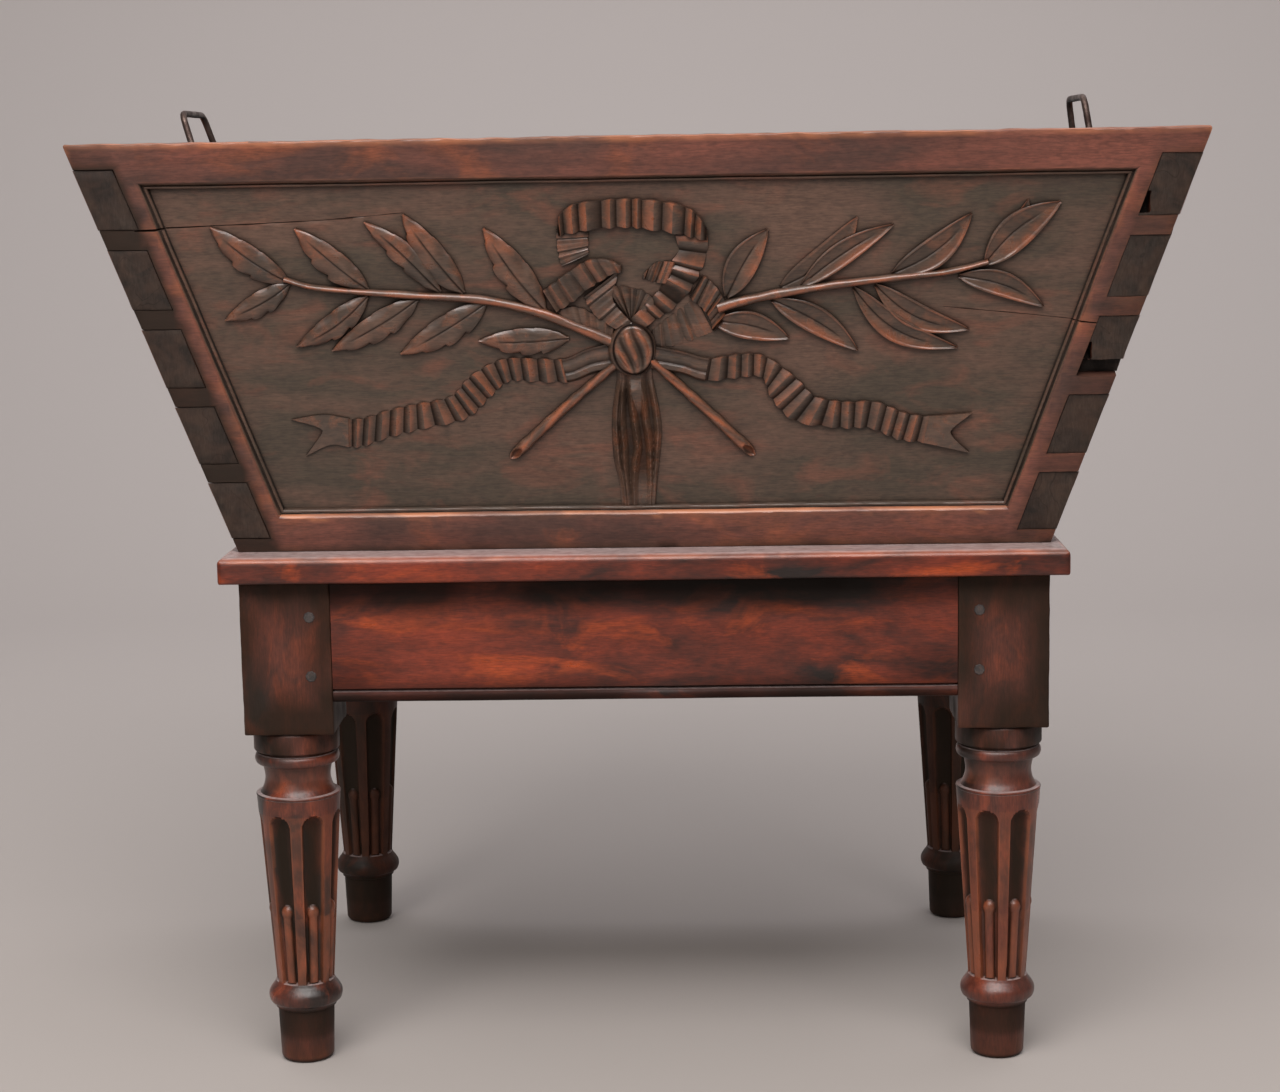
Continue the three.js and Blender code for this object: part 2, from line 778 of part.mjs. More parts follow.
// Places on a rail: run along it from its middle, inset from the stand's outer face, and height
function railPiece(beaded, halfRun, place, pegRuns) {
  const shoulder = halfRun - PIECE_GAP;
  const ends = [-1, 1].map((end) =>
    railSection(beaded).map(([inset, z]) => place(end * shoulder, inset, z)),
  );
  const tenonHalf = halfRun + rail.tenonLength;
  const tenon = [-1, 1].map((end) => {
    const low = railLow + rail.tenonShoulder;
    const high = standTop - rail.tenonShoulder;
    return [
      place(end * tenonHalf, railMiddle - rail.tenonThickness / 2, low),
      place(end * tenonHalf, railMiddle + rail.tenonThickness / 2, low),
      place(end * tenonHalf, railMiddle + rail.tenonThickness / 2, high),
      place(end * tenonHalf, railMiddle - rail.tenonThickness / 2, high),
    ];
  });
  const holes = pegRuns.flatMap((run) => pegHeights.map((z) => pegHole(place, run, z)));
  return solidOf(loft(ends)).add(solidOf(loft(tenon))).subtract(joined(holes));
}

const blockLow = standTop - leg.blockHeight;
const pegHeights = [0, 1].map((level) => blockLow + peg.rise + level * peg.spacing);

function pegHole(place, run, z) {
  const radius = peg.diameter / 2 + PIECE_GAP;
  return rodBetween(place(run, -OVERRUN, z), place(run, peg.length + PIECE_GAP, z), radius, peg.facets);
}
const longHalfRun = standWidth / 2 - leg.block;
const shortHalfRun = standDepth / 2 - leg.block;
const longPegRuns = [-1, 1].map((end) => end * (longHalfRun + peg.inset));
const shortPegRuns = [-1, 1].map((end) => end * (shortHalfRun + peg.inset));

const railPlaces = {
  front: (run, inset, z) => point(run, -standDepth / 2 + inset, z),
  back: (run, inset, z) => point(run, standDepth / 2 - inset, z),
  left: (run, inset, z) => point(-standWidth / 2 + inset, run, z),
  right: (run, inset, z) => point(standWidth / 2 - inset, run, z),
};
const rails = [
  { side: "front", beaded: true, halfRun: longHalfRun, pegRuns: longPegRuns },
  { side: "back", beaded: false, halfRun: longHalfRun, pegRuns: longPegRuns },
  { side: "left", beaded: true, halfRun: shortHalfRun, pegRuns: shortPegRuns },
  { side: "right", beaded: true, halfRun: shortHalfRun, pegRuns: shortPegRuns },
];
for (const { side, beaded, halfRun, pegRuns } of rails) {
  addPiece(`${side}_rail`, railPiece(beaded, halfRun, railPlaces[side], pegRuns), standWood);
}

// Eight-sided riven pegs, two through each tenon
for (const { side, pegRuns } of rails) {
  pegRuns.forEach((run, end) => {
    pegHeights.forEach((z, level) => {
      const place = railPlaces[side];
      const [head, tip] = [place(run, -peg.proud, z), place(run, peg.length, z)];
      const solid = rodBetween(head, tip, peg.diameter / 2, peg.facets);
      addPiece(`${side}_rail_peg_${end * 2 + level + 1}`, solid, pegWood);
    });
  });
}

// Legs

const levels = (() => {
  const collarLow = blockLow - leg.collarHeight;
  const grooveLow = collarLow - leg.grooveHeight;
  const beadLow = grooveLow - leg.beadHeight;
  const neckLow = beadLow - leg.neckHeight;
  const columnTop = neckLow - leg.shoulderHeight;
  const ringTop = leg.footHeight + leg.filletHeight + leg.ringHeight;
  return { collarLow, grooveLow, beadLow, neckLow, columnTop, ringTop };
})();

// A half-round moulding that swells to a radius between two heights, from top to bottom
function torus(radius, swell, top, low, steps) {
  const middle = (top + low) / 2;
  return Array.from({ length: steps + 1 }, (unused, i) => {
    const angle = Math.PI / 2 - (i / steps) * Math.PI;
    return [radius - swell + swell * Math.cos(angle), middle + ((top - low) / 2) * Math.sin(angle)];
  });
}

function turnedProfile() {
  const { collarLow, grooveLow, beadLow, neckLow, columnTop, ringTop } = levels;
  const ringLow = leg.footHeight + leg.filletHeight;
  const collarRound = leg.collarHeight / 6;
  return [
    [0, blockLow + OVERRUN],
    [leg.collarRadius - collarRound, blockLow + OVERRUN],
    [leg.collarRadius - collarRound, blockLow],
    [leg.collarRadius, blockLow - collarRound],
    [leg.collarRadius, collarLow + collarRound / 2],
    [leg.grooveRadius, (collarLow + grooveLow) / 2],
    ...torus(leg.beadRadius, leg.beadHeight / 4, grooveLow, beadLow, 2),
    [leg.neckTopRadius, beadLow],
    [leg.neckRadius, beadLow - leg.neckHeight / 2],
    [leg.flareRadius, neckLow],
    ...torus(leg.shoulderRadius, leg.shoulderHeight / 3, neckLow, columnTop, 2),
    [leg.columnTopRadius, columnTop],
    [leg.columnBaseRadius, ringTop],
    ...torus(leg.ringRadius, leg.ringHeight / 3, ringTop, ringLow, 4),
    [leg.filletRadius, ringLow],
    [leg.filletRadius, leg.footHeight],
    [leg.footTopRadius, leg.footHeight],
    [leg.footBaseRadius, leg.footRound],
    [leg.footBaseRadius - leg.footRound, 0],
    [0, 0],
  ];
}

function columnRadius(z) {
  const { columnTop, ringTop } = levels;
  return THREE.MathUtils.mapLinear(z, ringTop, columnTop, leg.columnBaseRadius, leg.columnTopRadius);
}

// A flute stands across the radius at an angle: places are side, radius and height
function fluteFrame(i) {
  const angle = ((i + flute.phaseShare) / flute.count) * 2 * Math.PI;
  const out = point(Math.sin(angle), -Math.cos(angle), 0);
  const across = point(Math.cos(angle), Math.sin(angle), 0);
  return (side, radius, z) =>
    point(0, 0, z).addScaledVector(out, radius).addScaledVector(across, side);
}

const fluteTop = levels.columnTop - flute.topDrop;
const fluteArchShares = [[0, 0.3], [0.35, 0.8], [1, 1]];
const fluteBowlShares = [[-1, 0], [-0.6, 0.9], [0.6, 0.9], [1, 0]];

function fluteCutter(place) {
  const ring = (z, halfWidth, depth) => {
    const surface = columnRadius(z);
    const bowl = fluteBowlShares.map(([side, depthShare]) =>
      place(side * halfWidth, surface - depthShare * depth, z),
    );
    return [
      ...bowl,
      place(halfWidth, surface + OVERRUN, z),
      place(-halfWidth, surface + OVERRUN, z),
    ];
  };
  const arch = fluteArchShares.map(([drop, spread]) => {
    const depth = Math.sqrt(spread) * flute.depth;
    return ring(fluteTop - drop * flute.topHalfWidth, spread * flute.topHalfWidth, depth);
  });
  return solidOf(loft([...arch, ring(levels.ringTop, flute.baseHalfWidth, flute.depth)]));
}

// The cabling: a slim reed in the lower part of each flute, with a round bud on top
function cable(place) {
  const reedTop = levels.ringTop + flute.cableHeight;
  const ring = (z) => {
    const bottom = columnRadius(z) - flute.depth - flute.cableRise / 4;
    const crest = columnRadius(z) - flute.depth + flute.cableRise;
    return [
      place(-flute.cableHalfWidth, bottom, z),
      place(0, crest, z),
      place(flute.cableHalfWidth, bottom, z),
    ];
  };
  const reed = solidOf(loft([ring(reedTop), ring(levels.ringTop - OVERRUN)]));
  const centre = place(0, columnRadius(reedTop) - flute.depth, reedTop + flute.budRadius / 2);
  const bud = new THREE.SphereGeometry(flute.budRadius, 6, 4).rotateX(Math.PI / 2);
  return reed.add(solidOf(bud.translate(centre.x, centre.y, centre.z)));
}

function turnedLeg() {
  const profile = turnedProfile().reverse().map(([radius, z]) => new THREE.Vector2(radius, z));
  const column = solidOf(new THREE.LatheGeometry(profile, leg.facets).rotateX(Math.PI / 2));
  const places = Array.from({ length: flute.count }, (unused, i) => fluteFrame(i));
  const half = leg.block / 2;
  const block = boxBetween(point(-half, -half, blockLow), point(half, half, standTop));
  return column.subtract(joined(places.map(fluteCutter))).add(joined(places.map(cable))).add(block);
}

// The mortice for one tenon, and its two peg holes
function morticeCutter({ side, halfRun }, end) {
  const place = railPlaces[side];
  const run = end * (halfRun + peg.inset);
  const mouth = place(
    end * (halfRun - OVERRUN),
    railMiddle - rail.tenonThickness / 2 - PIECE_GAP,
    railLow + rail.tenonShoulder - PIECE_GAP,
  );
  const back = place(
    end * (halfRun + rail.tenonLength + PIECE_GAP),
    railMiddle + rail.tenonThickness / 2 + PIECE_GAP,
    standTop - rail.tenonShoulder + PIECE_GAP,
  );
  const holes = pegHeights.map((z) => pegHole(place, run, z));
  return boxBetween(mouth, back).add(joined(holes));
}

const plainLeg = turnedLeg();
const legs = [
  { name: "front_left_leg", x: -1, y: -1, sides: ["front", "left"] },
  { name: "front_right_leg", x: 1, y: -1, sides: ["front", "right"] },
  { name: "back_left_leg", x: -1, y: 1, sides: ["back", "left"] },
  { name: "back_right_leg", x: 1, y: 1, sides: ["back", "right"] },
];
for (const { name, x, y, sides } of legs) {
  const [longRail, shortRail] = sides.map((side) => rails.find((one) => one.side === side));
  const legX = x * (standWidth - leg.block) / 2;
  const legY = y * (standDepth - leg.block) / 2;
  const solid = plainLeg
    .translate([legX, legY, 0])
    .subtract(morticeCutter(longRail, x))
    .subtract(morticeCutter(shortRail, y));
  addPiece(name, solid, standWood);
}

// The liner: one sheet folded into front, floor and back, two soldered ends and a wired rim

const linerBase = floorHigh + PIECE_GAP;
const wireHeight = RIM_HEIGHT - liner.wireDrop - liner.wireRadius;
const linerTop = wireHeight - liner.wireRadius - PIECE_GAP;
const linerHeight = linerTop - linerBase;

function linerAt(z, insetX, insetY) {
  const base = troughAt(linerBase, endRun + liner.footGap, sideRun + liner.footGap);
  const top = troughAt(linerTop, endRun + liner.rimGap, sideRun + liner.rimGap);
  const share = (z - linerBase) / linerHeight;
  return {
    z,
    halfWidth: THREE.MathUtils.lerp(base.halfWidth, top.halfWidth, share) - insetX,
    halfDepth: THREE.MathUtils.lerp(base.halfDepth, top.halfDepth, share) - insetY,
  };
}

function linerBlock(lowZ, highZ, insetX, insetY) {
  return taperedBox(linerAt(lowZ, insetX, insetY), linerAt(highZ, insetX, insetY));
}

const linerHalfWidths = [linerBase, linerTop].map((z) => linerAt(z, 0, 0).halfWidth);
const linerHalfDepths = [linerBase, linerTop].map((z) => linerAt(z, 0, 0).halfDepth);
const linerEndSplay = (linerHalfWidths[1] - linerHalfWidths[0]) / linerHeight;
const linerSideSplay = (linerHalfDepths[1] - linerHalfDepths[0]) / linerHeight;
const sheetEndRun = liner.sheet * Math.hypot(1, linerEndSplay);
const sheetSideRun = liner.sheet * Math.hypot(1, linerSideSplay);
const linerFloor = linerBase + liner.sheet;
const foldedSheet = linerBlock(linerBase, linerTop, sheetEndRun + PIECE_GAP, 0).subtract(
  linerBlock(linerFloor, linerTop + OVERRUN, -OVERRUN, sheetSideRun),
);
addPiece("liner_folded_sheet", foldedSheet, zinc);
for (const [name, side] of [["liner_left_end", -1], ["liner_right_end", 1]]) {
  addPiece(name, endWall(linerAt, side, linerBase, linerTop, 0, 0, sheetEndRun), zinc);
}

// The rim wire's middle line runs above the middle of the sheet's thickness
const wireLine = linerAt(linerTop, sheetEndRun / 2, sheetSideRun / 2);
function rimWire() {
  const path = [[-1, -1], [1, -1], [1, 1], [-1, 1]].map(([x, y]) =>
    point(x * wireLine.halfWidth, y * wireLine.halfDepth, wireHeight),
  );
  const section = circle(liner.wireRadius, liner.wireFacets);
  const rings = tubeRings(path, point(0, 0, 1), () => section, true);
  const sides = rings.map((ring, i) => solidOf(loft([ring, rings[(i + 1) % rings.length]])));
  return joined(sides);
}
addPiece("liner_rim_wire", rimWire(), zinc);

// Bails. Each turns about a line along Y in two ears on the liner's end. The left one leans out on the
// rim wire, and the right one stands leaning in

const pivotHeight = RIM_HEIGHT - bail.pivotDrop;
const endFaceX = linerAt(pivotHeight, sheetEndRun, 0).halfWidth;
const endLean = Math.atan(linerEndSplay);
const pivotX = endFaceX - bail.pivotInset / Math.cos(endLean);
const wireFromPivot = point(wireLine.halfWidth - pivotX, 0, wireHeight - pivotHeight);
const leanOut =
  Math.atan2(wireFromPivot.x, wireFromPivot.z) -
  Math.asin((bail.rodRadius + liner.wireRadius + PIECE_GAP) / wireFromPivot.length());

function arcBetween(before, corner, after, radius, steps) {
  const toBefore = new THREE.Vector2().subVectors(before, corner).normalize();
  const toAfter = new THREE.Vector2().subVectors(after, corner).normalize();
  const from = corner.clone().addScaledVector(toBefore, radius);
  const to = corner.clone().addScaledVector(toAfter, radius);
  const curve = new THREE.QuadraticBezierCurve(from, corner, to);
  return curve.getPoints(steps);
}

// The bail's middle line: y along the pivot, r away from it
function bailLine() {
  const tip = new THREE.Vector2(-bail.pivotHalfSpan - bail.pinLength, 0);
  const foot = new THREE.Vector2(-bail.pivotHalfSpan, 0);
  const shoulder = new THREE.Vector2(-bail.topHalfSpan, bail.reach);
  const middle = new THREE.Vector2(0, bail.reach);
  const half = [
    tip,
    ...arcBetween(tip, foot, shoulder, bail.footBend, 2),
    ...arcBetween(foot, shoulder, middle, bail.topBend, 3),
  ];
  const mirrored = half.map(({ x, y }) => new THREE.Vector2(-x, y)).reverse();
  return [...half, ...mirrored];
}

function bailSolid(side, lean) {
  const out = point(side * Math.sin(lean), 0, Math.cos(lean));
  const pivot = point(side * pivotX, 0, pivotHeight);
  const path = bailLine().map(({ x, y }) => pivot.clone().add(point(0, x, 0)).addScaledVector(out, y));
  const normal = new THREE.Vector3().crossVectors(out, point(0, 1, 0)).normalize();
  const section = circle(bail.rodRadius, bail.facets);
  return solidOf(loft(tubeRings(path, normal, () => section, false)));
}

addPiece("left_bail", bailSolid(-1, leanOut), iron);
addPiece("right_bail", bailSolid(1, -THREE.MathUtils.degToRad(bail.rightLeanDegrees)), iron);

// An ear is a strap against the liner's end, with an eye round the bail's pin
function earSolid(side, end) {
  const near = bail.pivotHalfSpan + bail.footBend + ear.sideGap;
  const [from, to] = [end * near, end * (near + ear.width)];
  const eyeRadius = bail.rodRadius + PIECE_GAP + ear.eyeWall;
  const up = point(side * Math.sin(endLean), 0, Math.cos(endLean));
  const out = point(side * Math.cos(endLean), 0, -Math.sin(endLean));
  const pivot = point(side * pivotX, 0, pivotHeight);
  const onStrap = (rise, reach) => pivot.clone().addScaledVector(up, rise).addScaledVector(out, reach);
  const wallReach = bail.pivotInset - PIECE_GAP;
  const corners = [
    onStrap(-ear.strapFall, wallReach - ear.strap),
    onStrap(-ear.strapFall, wallReach),
    onStrap(ear.strapRise, wallReach),
    onStrap(ear.strapRise, wallReach - ear.strap),
  ];
  const strap = loft([from, to].map((y) => corners.map((corner) => corner.clone().setY(y))));
  const eye = rodBetween(pivot.clone().setY(from), pivot.clone().setY(to), eyeRadius, ear.facets);
  const bore = rodBetween(
    pivot.clone().setY(from - end * OVERRUN),
    pivot.clone().setY(to + end * OVERRUN),
    bail.rodRadius + PIECE_GAP,
    ear.facets,
  );
  return solidOf(strap).add(eye).subtract(bore);
}

for (const [sideName, side] of [["left", -1], ["right", 1]]) {
  for (const [endName, end] of [["front", -1], ["back", 1]]) {
    addPiece(`${sideName}_${endName}_ear`, earSolid(side, end), iron);
  }
}

export default product;
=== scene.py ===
"""Trough cellarette with a carved front: its finished look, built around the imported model.

The trough's boards, the carving, the turned stand and the liner are each a class that holds its sizes in
millimetres and builds its own pieces. Finishes are small classes that build one material each.
"""

import logging
import math
from dataclasses import dataclass, replace
from enum import Enum
from functools import partial, partialmethod

import bmesh
import bpy
import numpy as np
from bmesh.types import BMEdge, BMesh
from bpy.types import Material, Mesh, NodeSocket, NodeTree
from mathutils import Matrix, Vector


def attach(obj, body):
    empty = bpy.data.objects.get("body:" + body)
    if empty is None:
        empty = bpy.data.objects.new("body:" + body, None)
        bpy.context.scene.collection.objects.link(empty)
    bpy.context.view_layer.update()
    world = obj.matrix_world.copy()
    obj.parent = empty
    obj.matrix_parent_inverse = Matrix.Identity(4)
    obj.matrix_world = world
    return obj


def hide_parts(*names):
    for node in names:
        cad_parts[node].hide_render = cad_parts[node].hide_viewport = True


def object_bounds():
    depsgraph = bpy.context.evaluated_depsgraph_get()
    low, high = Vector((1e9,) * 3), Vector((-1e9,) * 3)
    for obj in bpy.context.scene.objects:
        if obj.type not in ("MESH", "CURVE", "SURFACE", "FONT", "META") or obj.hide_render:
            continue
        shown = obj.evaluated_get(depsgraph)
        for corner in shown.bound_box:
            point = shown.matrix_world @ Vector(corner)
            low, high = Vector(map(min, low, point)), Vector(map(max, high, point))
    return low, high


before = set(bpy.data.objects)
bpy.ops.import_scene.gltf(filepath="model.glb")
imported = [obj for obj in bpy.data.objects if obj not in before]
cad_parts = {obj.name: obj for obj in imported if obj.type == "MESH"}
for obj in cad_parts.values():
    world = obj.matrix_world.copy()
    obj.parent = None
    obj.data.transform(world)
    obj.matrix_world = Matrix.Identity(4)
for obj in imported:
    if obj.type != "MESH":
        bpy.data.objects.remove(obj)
CAD_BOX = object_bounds()

LOG = logging.getLogger("cellarette")
MM = 0.001
IMAGE_WIDTH = 1280
TURN = 2 * math.pi
UP = np.array([0.0, 0.0, 1.0])

Array = np.ndarray
Place = tuple[float, float, float]
Share = tuple[float, float]


class Grain(Enum):
    """The axis that a piece's grain runs along."""

    ALONG_X = 0
    ALONG_Y = 1
    ALONG_Z = 2


class Side(Enum):
    """Left or right of someone who faces the carved front."""

    LEFT = -1
    RIGHT = 1


class Quarter(Enum):
    """A side of the stand: the axis that its pieces run along, and which way they face on the other axis."""

    FRONT = (0, -1)
    BACK = (0, 1)
    LEFT = (1, -1)
    RIGHT = (1, 1)


class LeafCut(Enum):
    """How a leaf was carved: with a wavy, notched blade, or smooth with a raised margin."""

    WAVY = "wavy"
    RIMMED = "rimmed"


# Meshes


def clipped(value: Array, low: float = 0.0, high: float = 1.0) -> Array:
    """The value held between two limits, 0 and 1 where none are given."""
    return np.clip(value, low, high)


@dataclass
class Shell:
    """A mesh in millimetres, with two shares of each point from 0 to 1: rub for wear and painted highlight,
    sunk for dirt and painted shade.
    """

    points: Array
    faces: list[tuple[int, ...]]
    rub: Array | None = None
    sunk: Array | None = None

    def __post_init__(self) -> None:
        """Fills in missing shares with zeros."""
        self.rub, self.sunk = (
            np.zeros(len(self.points)) if shares is None else shares for shares in (self.rub, self.sunk)
        )

    @staticmethod
    def joined(shells: list["Shell"]) -> "Shell":
        """Joins shells.

        Args:
            shells: the shells, in place.

        Returns:
            One shell with the faces of all.
        """
        starts = np.cumsum([0] + [len(shell.points) for shell in shells])
        faces = [
            tuple(i + start for i in face) for shell, start in zip(shells, starts) for face in shell.faces
        ]
        points, rub, sunk = (
            np.concatenate([getattr(shell, name) for shell in shells]) for name in ("points", "rub", "sunk")
        )
        return Shell(points, faces, rub, sunk)


def faces_of(mesh: BMesh) -> list[tuple[int, ...]]:
    """The point numbers of each face."""
    return [tuple(vert.index for vert in face.verts) for face in mesh.faces]


def loft(rings: Array, ring_closed: bool = False) -> Shell:
    """Skins a row of rings of points.

    Args:
        rings: points as an array of rings, points and coordinates.
        ring_closed: whether the last ring joins the first, as round a frame. Otherwise both ends are capped.

    Returns:
        The closed shell.
    """
    rows, count, _ = rings.shape
    faces = []
    for r in range(rows if ring_closed else rows - 1):
        low, high = r * count, ((r + 1) % rows) * count
        for i in range(count):
            j = (i + 1) % count
            faces.append((low + i, low + j, high + j, high + i))
    if not ring_closed:
        faces += [tuple(range(count))[::-1], tuple((rows - 1) * count + i for i in range(count))]
    return Shell(rings.reshape(-1, 3), faces)


def along_path(path: Array, normal: Array, section: Array, closed: bool = False) -> Array:
    """Places a section square to a path that lies in one plane.

    Args:
        path: the points of the path.
        normal: the plane's unit normal.
        section: side and rise of each section point, either one section or one for each path point.
        closed: whether the path runs round to its start.

    Returns:
        Rings of points for loft.
    """
    if closed:
        ahead, behind = np.roll(path, -1, axis=0), np.roll(path, 1, axis=0)
    else:
        ahead = np.vstack([path[1:], 2 * path[-1] - path[-2]])
        behind = np.vstack([2 * path[0] - path[1], path[:-1]])
    along = ahead - behind
    along /= np.linalg.norm(along, axis=1, keepdims=True)
    across = np.cross(along, normal)
    sections = np.broadcast_to(section, (len(path),) + section.shape[-2:])
    return path[:, None, :] + sections[:, :, :1] * across[:, None, :] + sections[:, :, 1:] * normal


def length_along(path: Array) -> Array:
    """The length of a path up to each of its points."""
    return np.concatenate([[0], np.cumsum(np.linalg.norm(np.diff(path, axis=0), axis=1))])


def spaced(path: Array, steps: int) -> Array:
    """Points at even steps along a path."""
    run = length_along(path)
    return np.stack([np.interp(np.linspace(0, run[-1], steps + 1), run, axis) for axis in path.T], axis=1)


def smooth_path(points: list[tuple[float, ...]], steps: int) -> Array:
    """Runs a smooth curve through points.

    Args:
        points: the points that the curve passes.
        steps: the number of even steps along the whole curve.

    Returns:
        The points of the curve, evenly spaced.
    """
    knots = np.array(points, dtype=float)
    padded = np.vstack([2 * knots[0] - knots[1], knots, 2 * knots[-1] - knots[-2]])
    dense = []
    for i in range(1, len(padded) - 2):
        a, b, c, d = padded[i - 1 : i + 3]
        t = np.linspace(0, 1, 24, endpoint=False)[:, None]
        dense.append(b + 0.5 * t * (c - a + t * (2 * a - 5 * b + 4 * c - d + t * (3 * (b - c) + d - a))))
    return spaced(np.vstack([*dense, knots[-1:]]), steps)


def arc(centre: Share, radius: float, start: float, end: float, steps: int) -> list[Share]:
    """Points on an arc, from one angle in degrees to another."""
    angles = np.radians(np.linspace(start, end, steps + 1))
    return [(centre[0] + radius * math.cos(a), centre[1] + radius * math.sin(a)) for a in angles]


def circle(radius: float, count: int) -> Array:
    """Evenly spaced points on a circle."""
    angle = np.linspace(0, TURN, count, endpoint=False)
    return radius * np.stack([np.cos(angle), np.sin(angle)], axis=1)


class Unevenness:
    """A smooth field of small movements. One field serves all pieces, so that their joints stay closed."""

    def __init__(self, seed: int, longest: float, shortest: float, waves: int = 14) -> None:
        """Draws the field's waves.

        Args:
            seed: the fixed seed.
            longest: the longest wave in millimetres.
            shortest: the shortest wave in millimetres.
            waves: how many waves are added up.
        """
        draw = np.random.default_rng(seed)
        direction = draw.normal(size=(waves, 3))
        direction /= np.linalg.norm(direction, axis=1, keepdims=True)
        length = np.geomspace(longest, shortest, waves)
        self.waves = direction * (TURN / length)[:, None]
        self.phase = draw.uniform(0, TURN, size=(waves, 3))
        self.weight = np.sqrt(length / longest)
        self.weight /= self.weight.sum() / 2

    def at(self, points: Array) -> Array:
        """The movement at each point, three numbers of about -1 to 1."""
        angle = points @ self.waves.T
        return np.stack([np.sin(angle + self.phase[:, k]) @ self.weight for k in range(3)], axis=1)


HAND_WORK = Unevenness(seed=11, longest=260.0, shortest=45.0)
KNOCKS = Unevenness(seed=23, longest=42.0, shortest=7.0, waves=20)


def made_whole(mesh: BMesh) -> BMesh:
    """Merges doubled points and makes flat faces whole.

    Args:
        mesh: the solid.

    Returns:
        The same solid.
    """
    bmesh.ops.remove_doubles(mesh, verts=mesh.verts, dist=0.01)
    bmesh.ops.dissolve_limit(mesh, angle_limit=math.radians(0.3), verts=mesh.verts, edges=mesh.edges)
    return mesh


def plain_bmesh(shell: Shell) -> BMesh:
    """Turns a shell into a bmesh in millimetres.

    Args:
        shell: the shell.

    Returns:
        The bmesh, with its normals pointing out.
    """
    mesh = bmesh.new()
    verts = [mesh.verts.new(point) for point in shell.points]
    for face in shell.faces:
        mesh.faces.new([verts[i] for i in face])
    bmesh.ops.recalc_face_normals(mesh, faces=mesh.faces)
    return mesh


def node_bmesh(node: str, mirror_y: bool = False) -> BMesh:
    """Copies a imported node's mesh.

    Args:
        node: the node's name.
        mirror_y: whether the copy is mirrored from back to front.

    Returns:
        The copy, welded, in millimetres and with flat faces made whole.
    """
    mesh = bmesh.new()
    mesh.from_mesh(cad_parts[node].data)
    mesh.transform(Matrix.Diagonal((1 / MM, (-1 if mirror_y else 1) / MM, 1 / MM, 1)))
    made_whole(mesh)
    bmesh.ops.recalc_face_normals(mesh, faces=mesh.faces)
    return mesh


def cut(mesh: BMesh, cutters: list[Shell]) -> BMesh:
    """Takes cutters away from a solid.

    Args:
        mesh: the solid, in millimetres, which is used up.
        cutters: closed shells, which may meet.

    Returns:
        The solid that is left, with flat faces made whole.
    """
    objects = []
    for part in (mesh, *map(plain_bmesh, cutters)):
        data = bpy.data.meshes.new("cutting")
        part.to_mesh(data)
        part.free()
        objects.append(bpy.data.objects.new("cutting", data))
        bpy.context.scene.collection.objects.link(objects[-1])
    for cutter in objects[1:]:
        boolean = objects[0].modifiers.new("cut", "BOOLEAN")
        boolean.operation, boolean.solver, boolean.object = "DIFFERENCE", "EXACT", cutter
    left = bmesh.new()
    left.from_object(objects[0], bpy.context.evaluated_depsgraph_get())
    for item in objects:
        data = item.data
        bpy.data.objects.remove(item)
        bpy.data.meshes.remove(data)
    return made_whole(left)


@dataclass(frozen=True)
class Wear:
    """How far hand work and use have changed a solid's edges and faces. Lengths are in millimetres."""

    arris: float = 0.9
    rim_arris: float = 0.0
    rim_height: float = math.inf
    cell: float = 14.0
    cell_axes: tuple[int, ...] = (0, 1, 2)
    wander: float = 0.35
    knock: float = 0.5
    polish: float = 0.22
    arris_angle: float = math.radians(28)

    def is_arris(self, edge: BMEdge) -> bool:
        """Whether an edge is an outer corner that use would round."""
        return edge.is_manifold and edge.is_convex and edge.calc_face_angle(0) > self.arris_angle

    def applied(self, mesh: BMesh) -> Shell:
        """Rounds the arrises, cuts the faces into cells and moves them as hand work and knocks would.

        Args:
            mesh: the crisp solid, which is used up.

        Returns:
            The worn shell, with its rubbed arrises marked.
        """
        for at_rim, offset in ((True, self.rim_arris), (False, self.arris)):
            edges = [
                edge for edge in mesh.edges
                if self.is_arris(edge) and (min(vert.co.z for vert in edge.verts) > self.rim_height) == at_rim
            ]
            if offset and edges:
                bmesh.ops.bevel(
                    mesh, geom=edges, offset=offset, offset_type="OFFSET", segments=3 if at_rim else 2,
                    profile=0.5, affect="EDGES", clamp_overlap=True,
                )
        low, high = (pick([vert.co for vert in mesh.verts], axis=0) for pick in (np.min, np.max))
        for axis in self.cell_axes:
            for place in np.arange(low[axis] + self.cell, high[axis], self.cell):
                centre, normal = Vector((0, 0, 0)), Vector((0, 0, 0))
                centre[axis], normal[axis] = place, 1
                everything = mesh.verts[:] + mesh.edges[:] + mesh.faces[:]
                bmesh.ops.bisect_plane(mesh, geom=everything, dist=1e-4, plane_co=centre, plane_no=normal)
        return self.knocked(mesh)

    def knocked(self, mesh: BMesh) -> Shell:
        """Moves the points of a solid whose arrises are already round.

        Args:
            mesh: the solid, which is used up.

        Returns:
            The worn shell.
        """
        mesh.normal_update()
        mesh.verts.index_update()
        bend = np.array([
            max((edge.calc_face_angle(0) for edge in vert.link_edges if edge.is_manifold), default=0)
            for vert in mesh.verts
        ])
        convex = np.array([
            all(edge.is_convex for edge in vert.link_edges if edge.calc_face_angle(0) > 0.2)
            for vert in mesh.verts
        ])
        arris = clipped(bend / math.radians(30)) * convex
        points = np.array([vert.co for vert in mesh.verts])
        normals = np.array([vert.normal for vert in mesh.verts])
        faces = faces_of(mesh)
        mesh.free()
        bump = KNOCKS.at(points)[:, 0]
        loss = self.knock * arris * clipped(bump + 0.35, 0, 1.4)
        moved = points + self.wander * HAND_WORK.at(points) - loss[:, None] * normals
        handled = np.where(points[:, 2] > self.rim_height - 8, 1, self.polish)
        return Shell(moved, faces, arris * clipped(0.75 + 0.5 * bump) * handled)


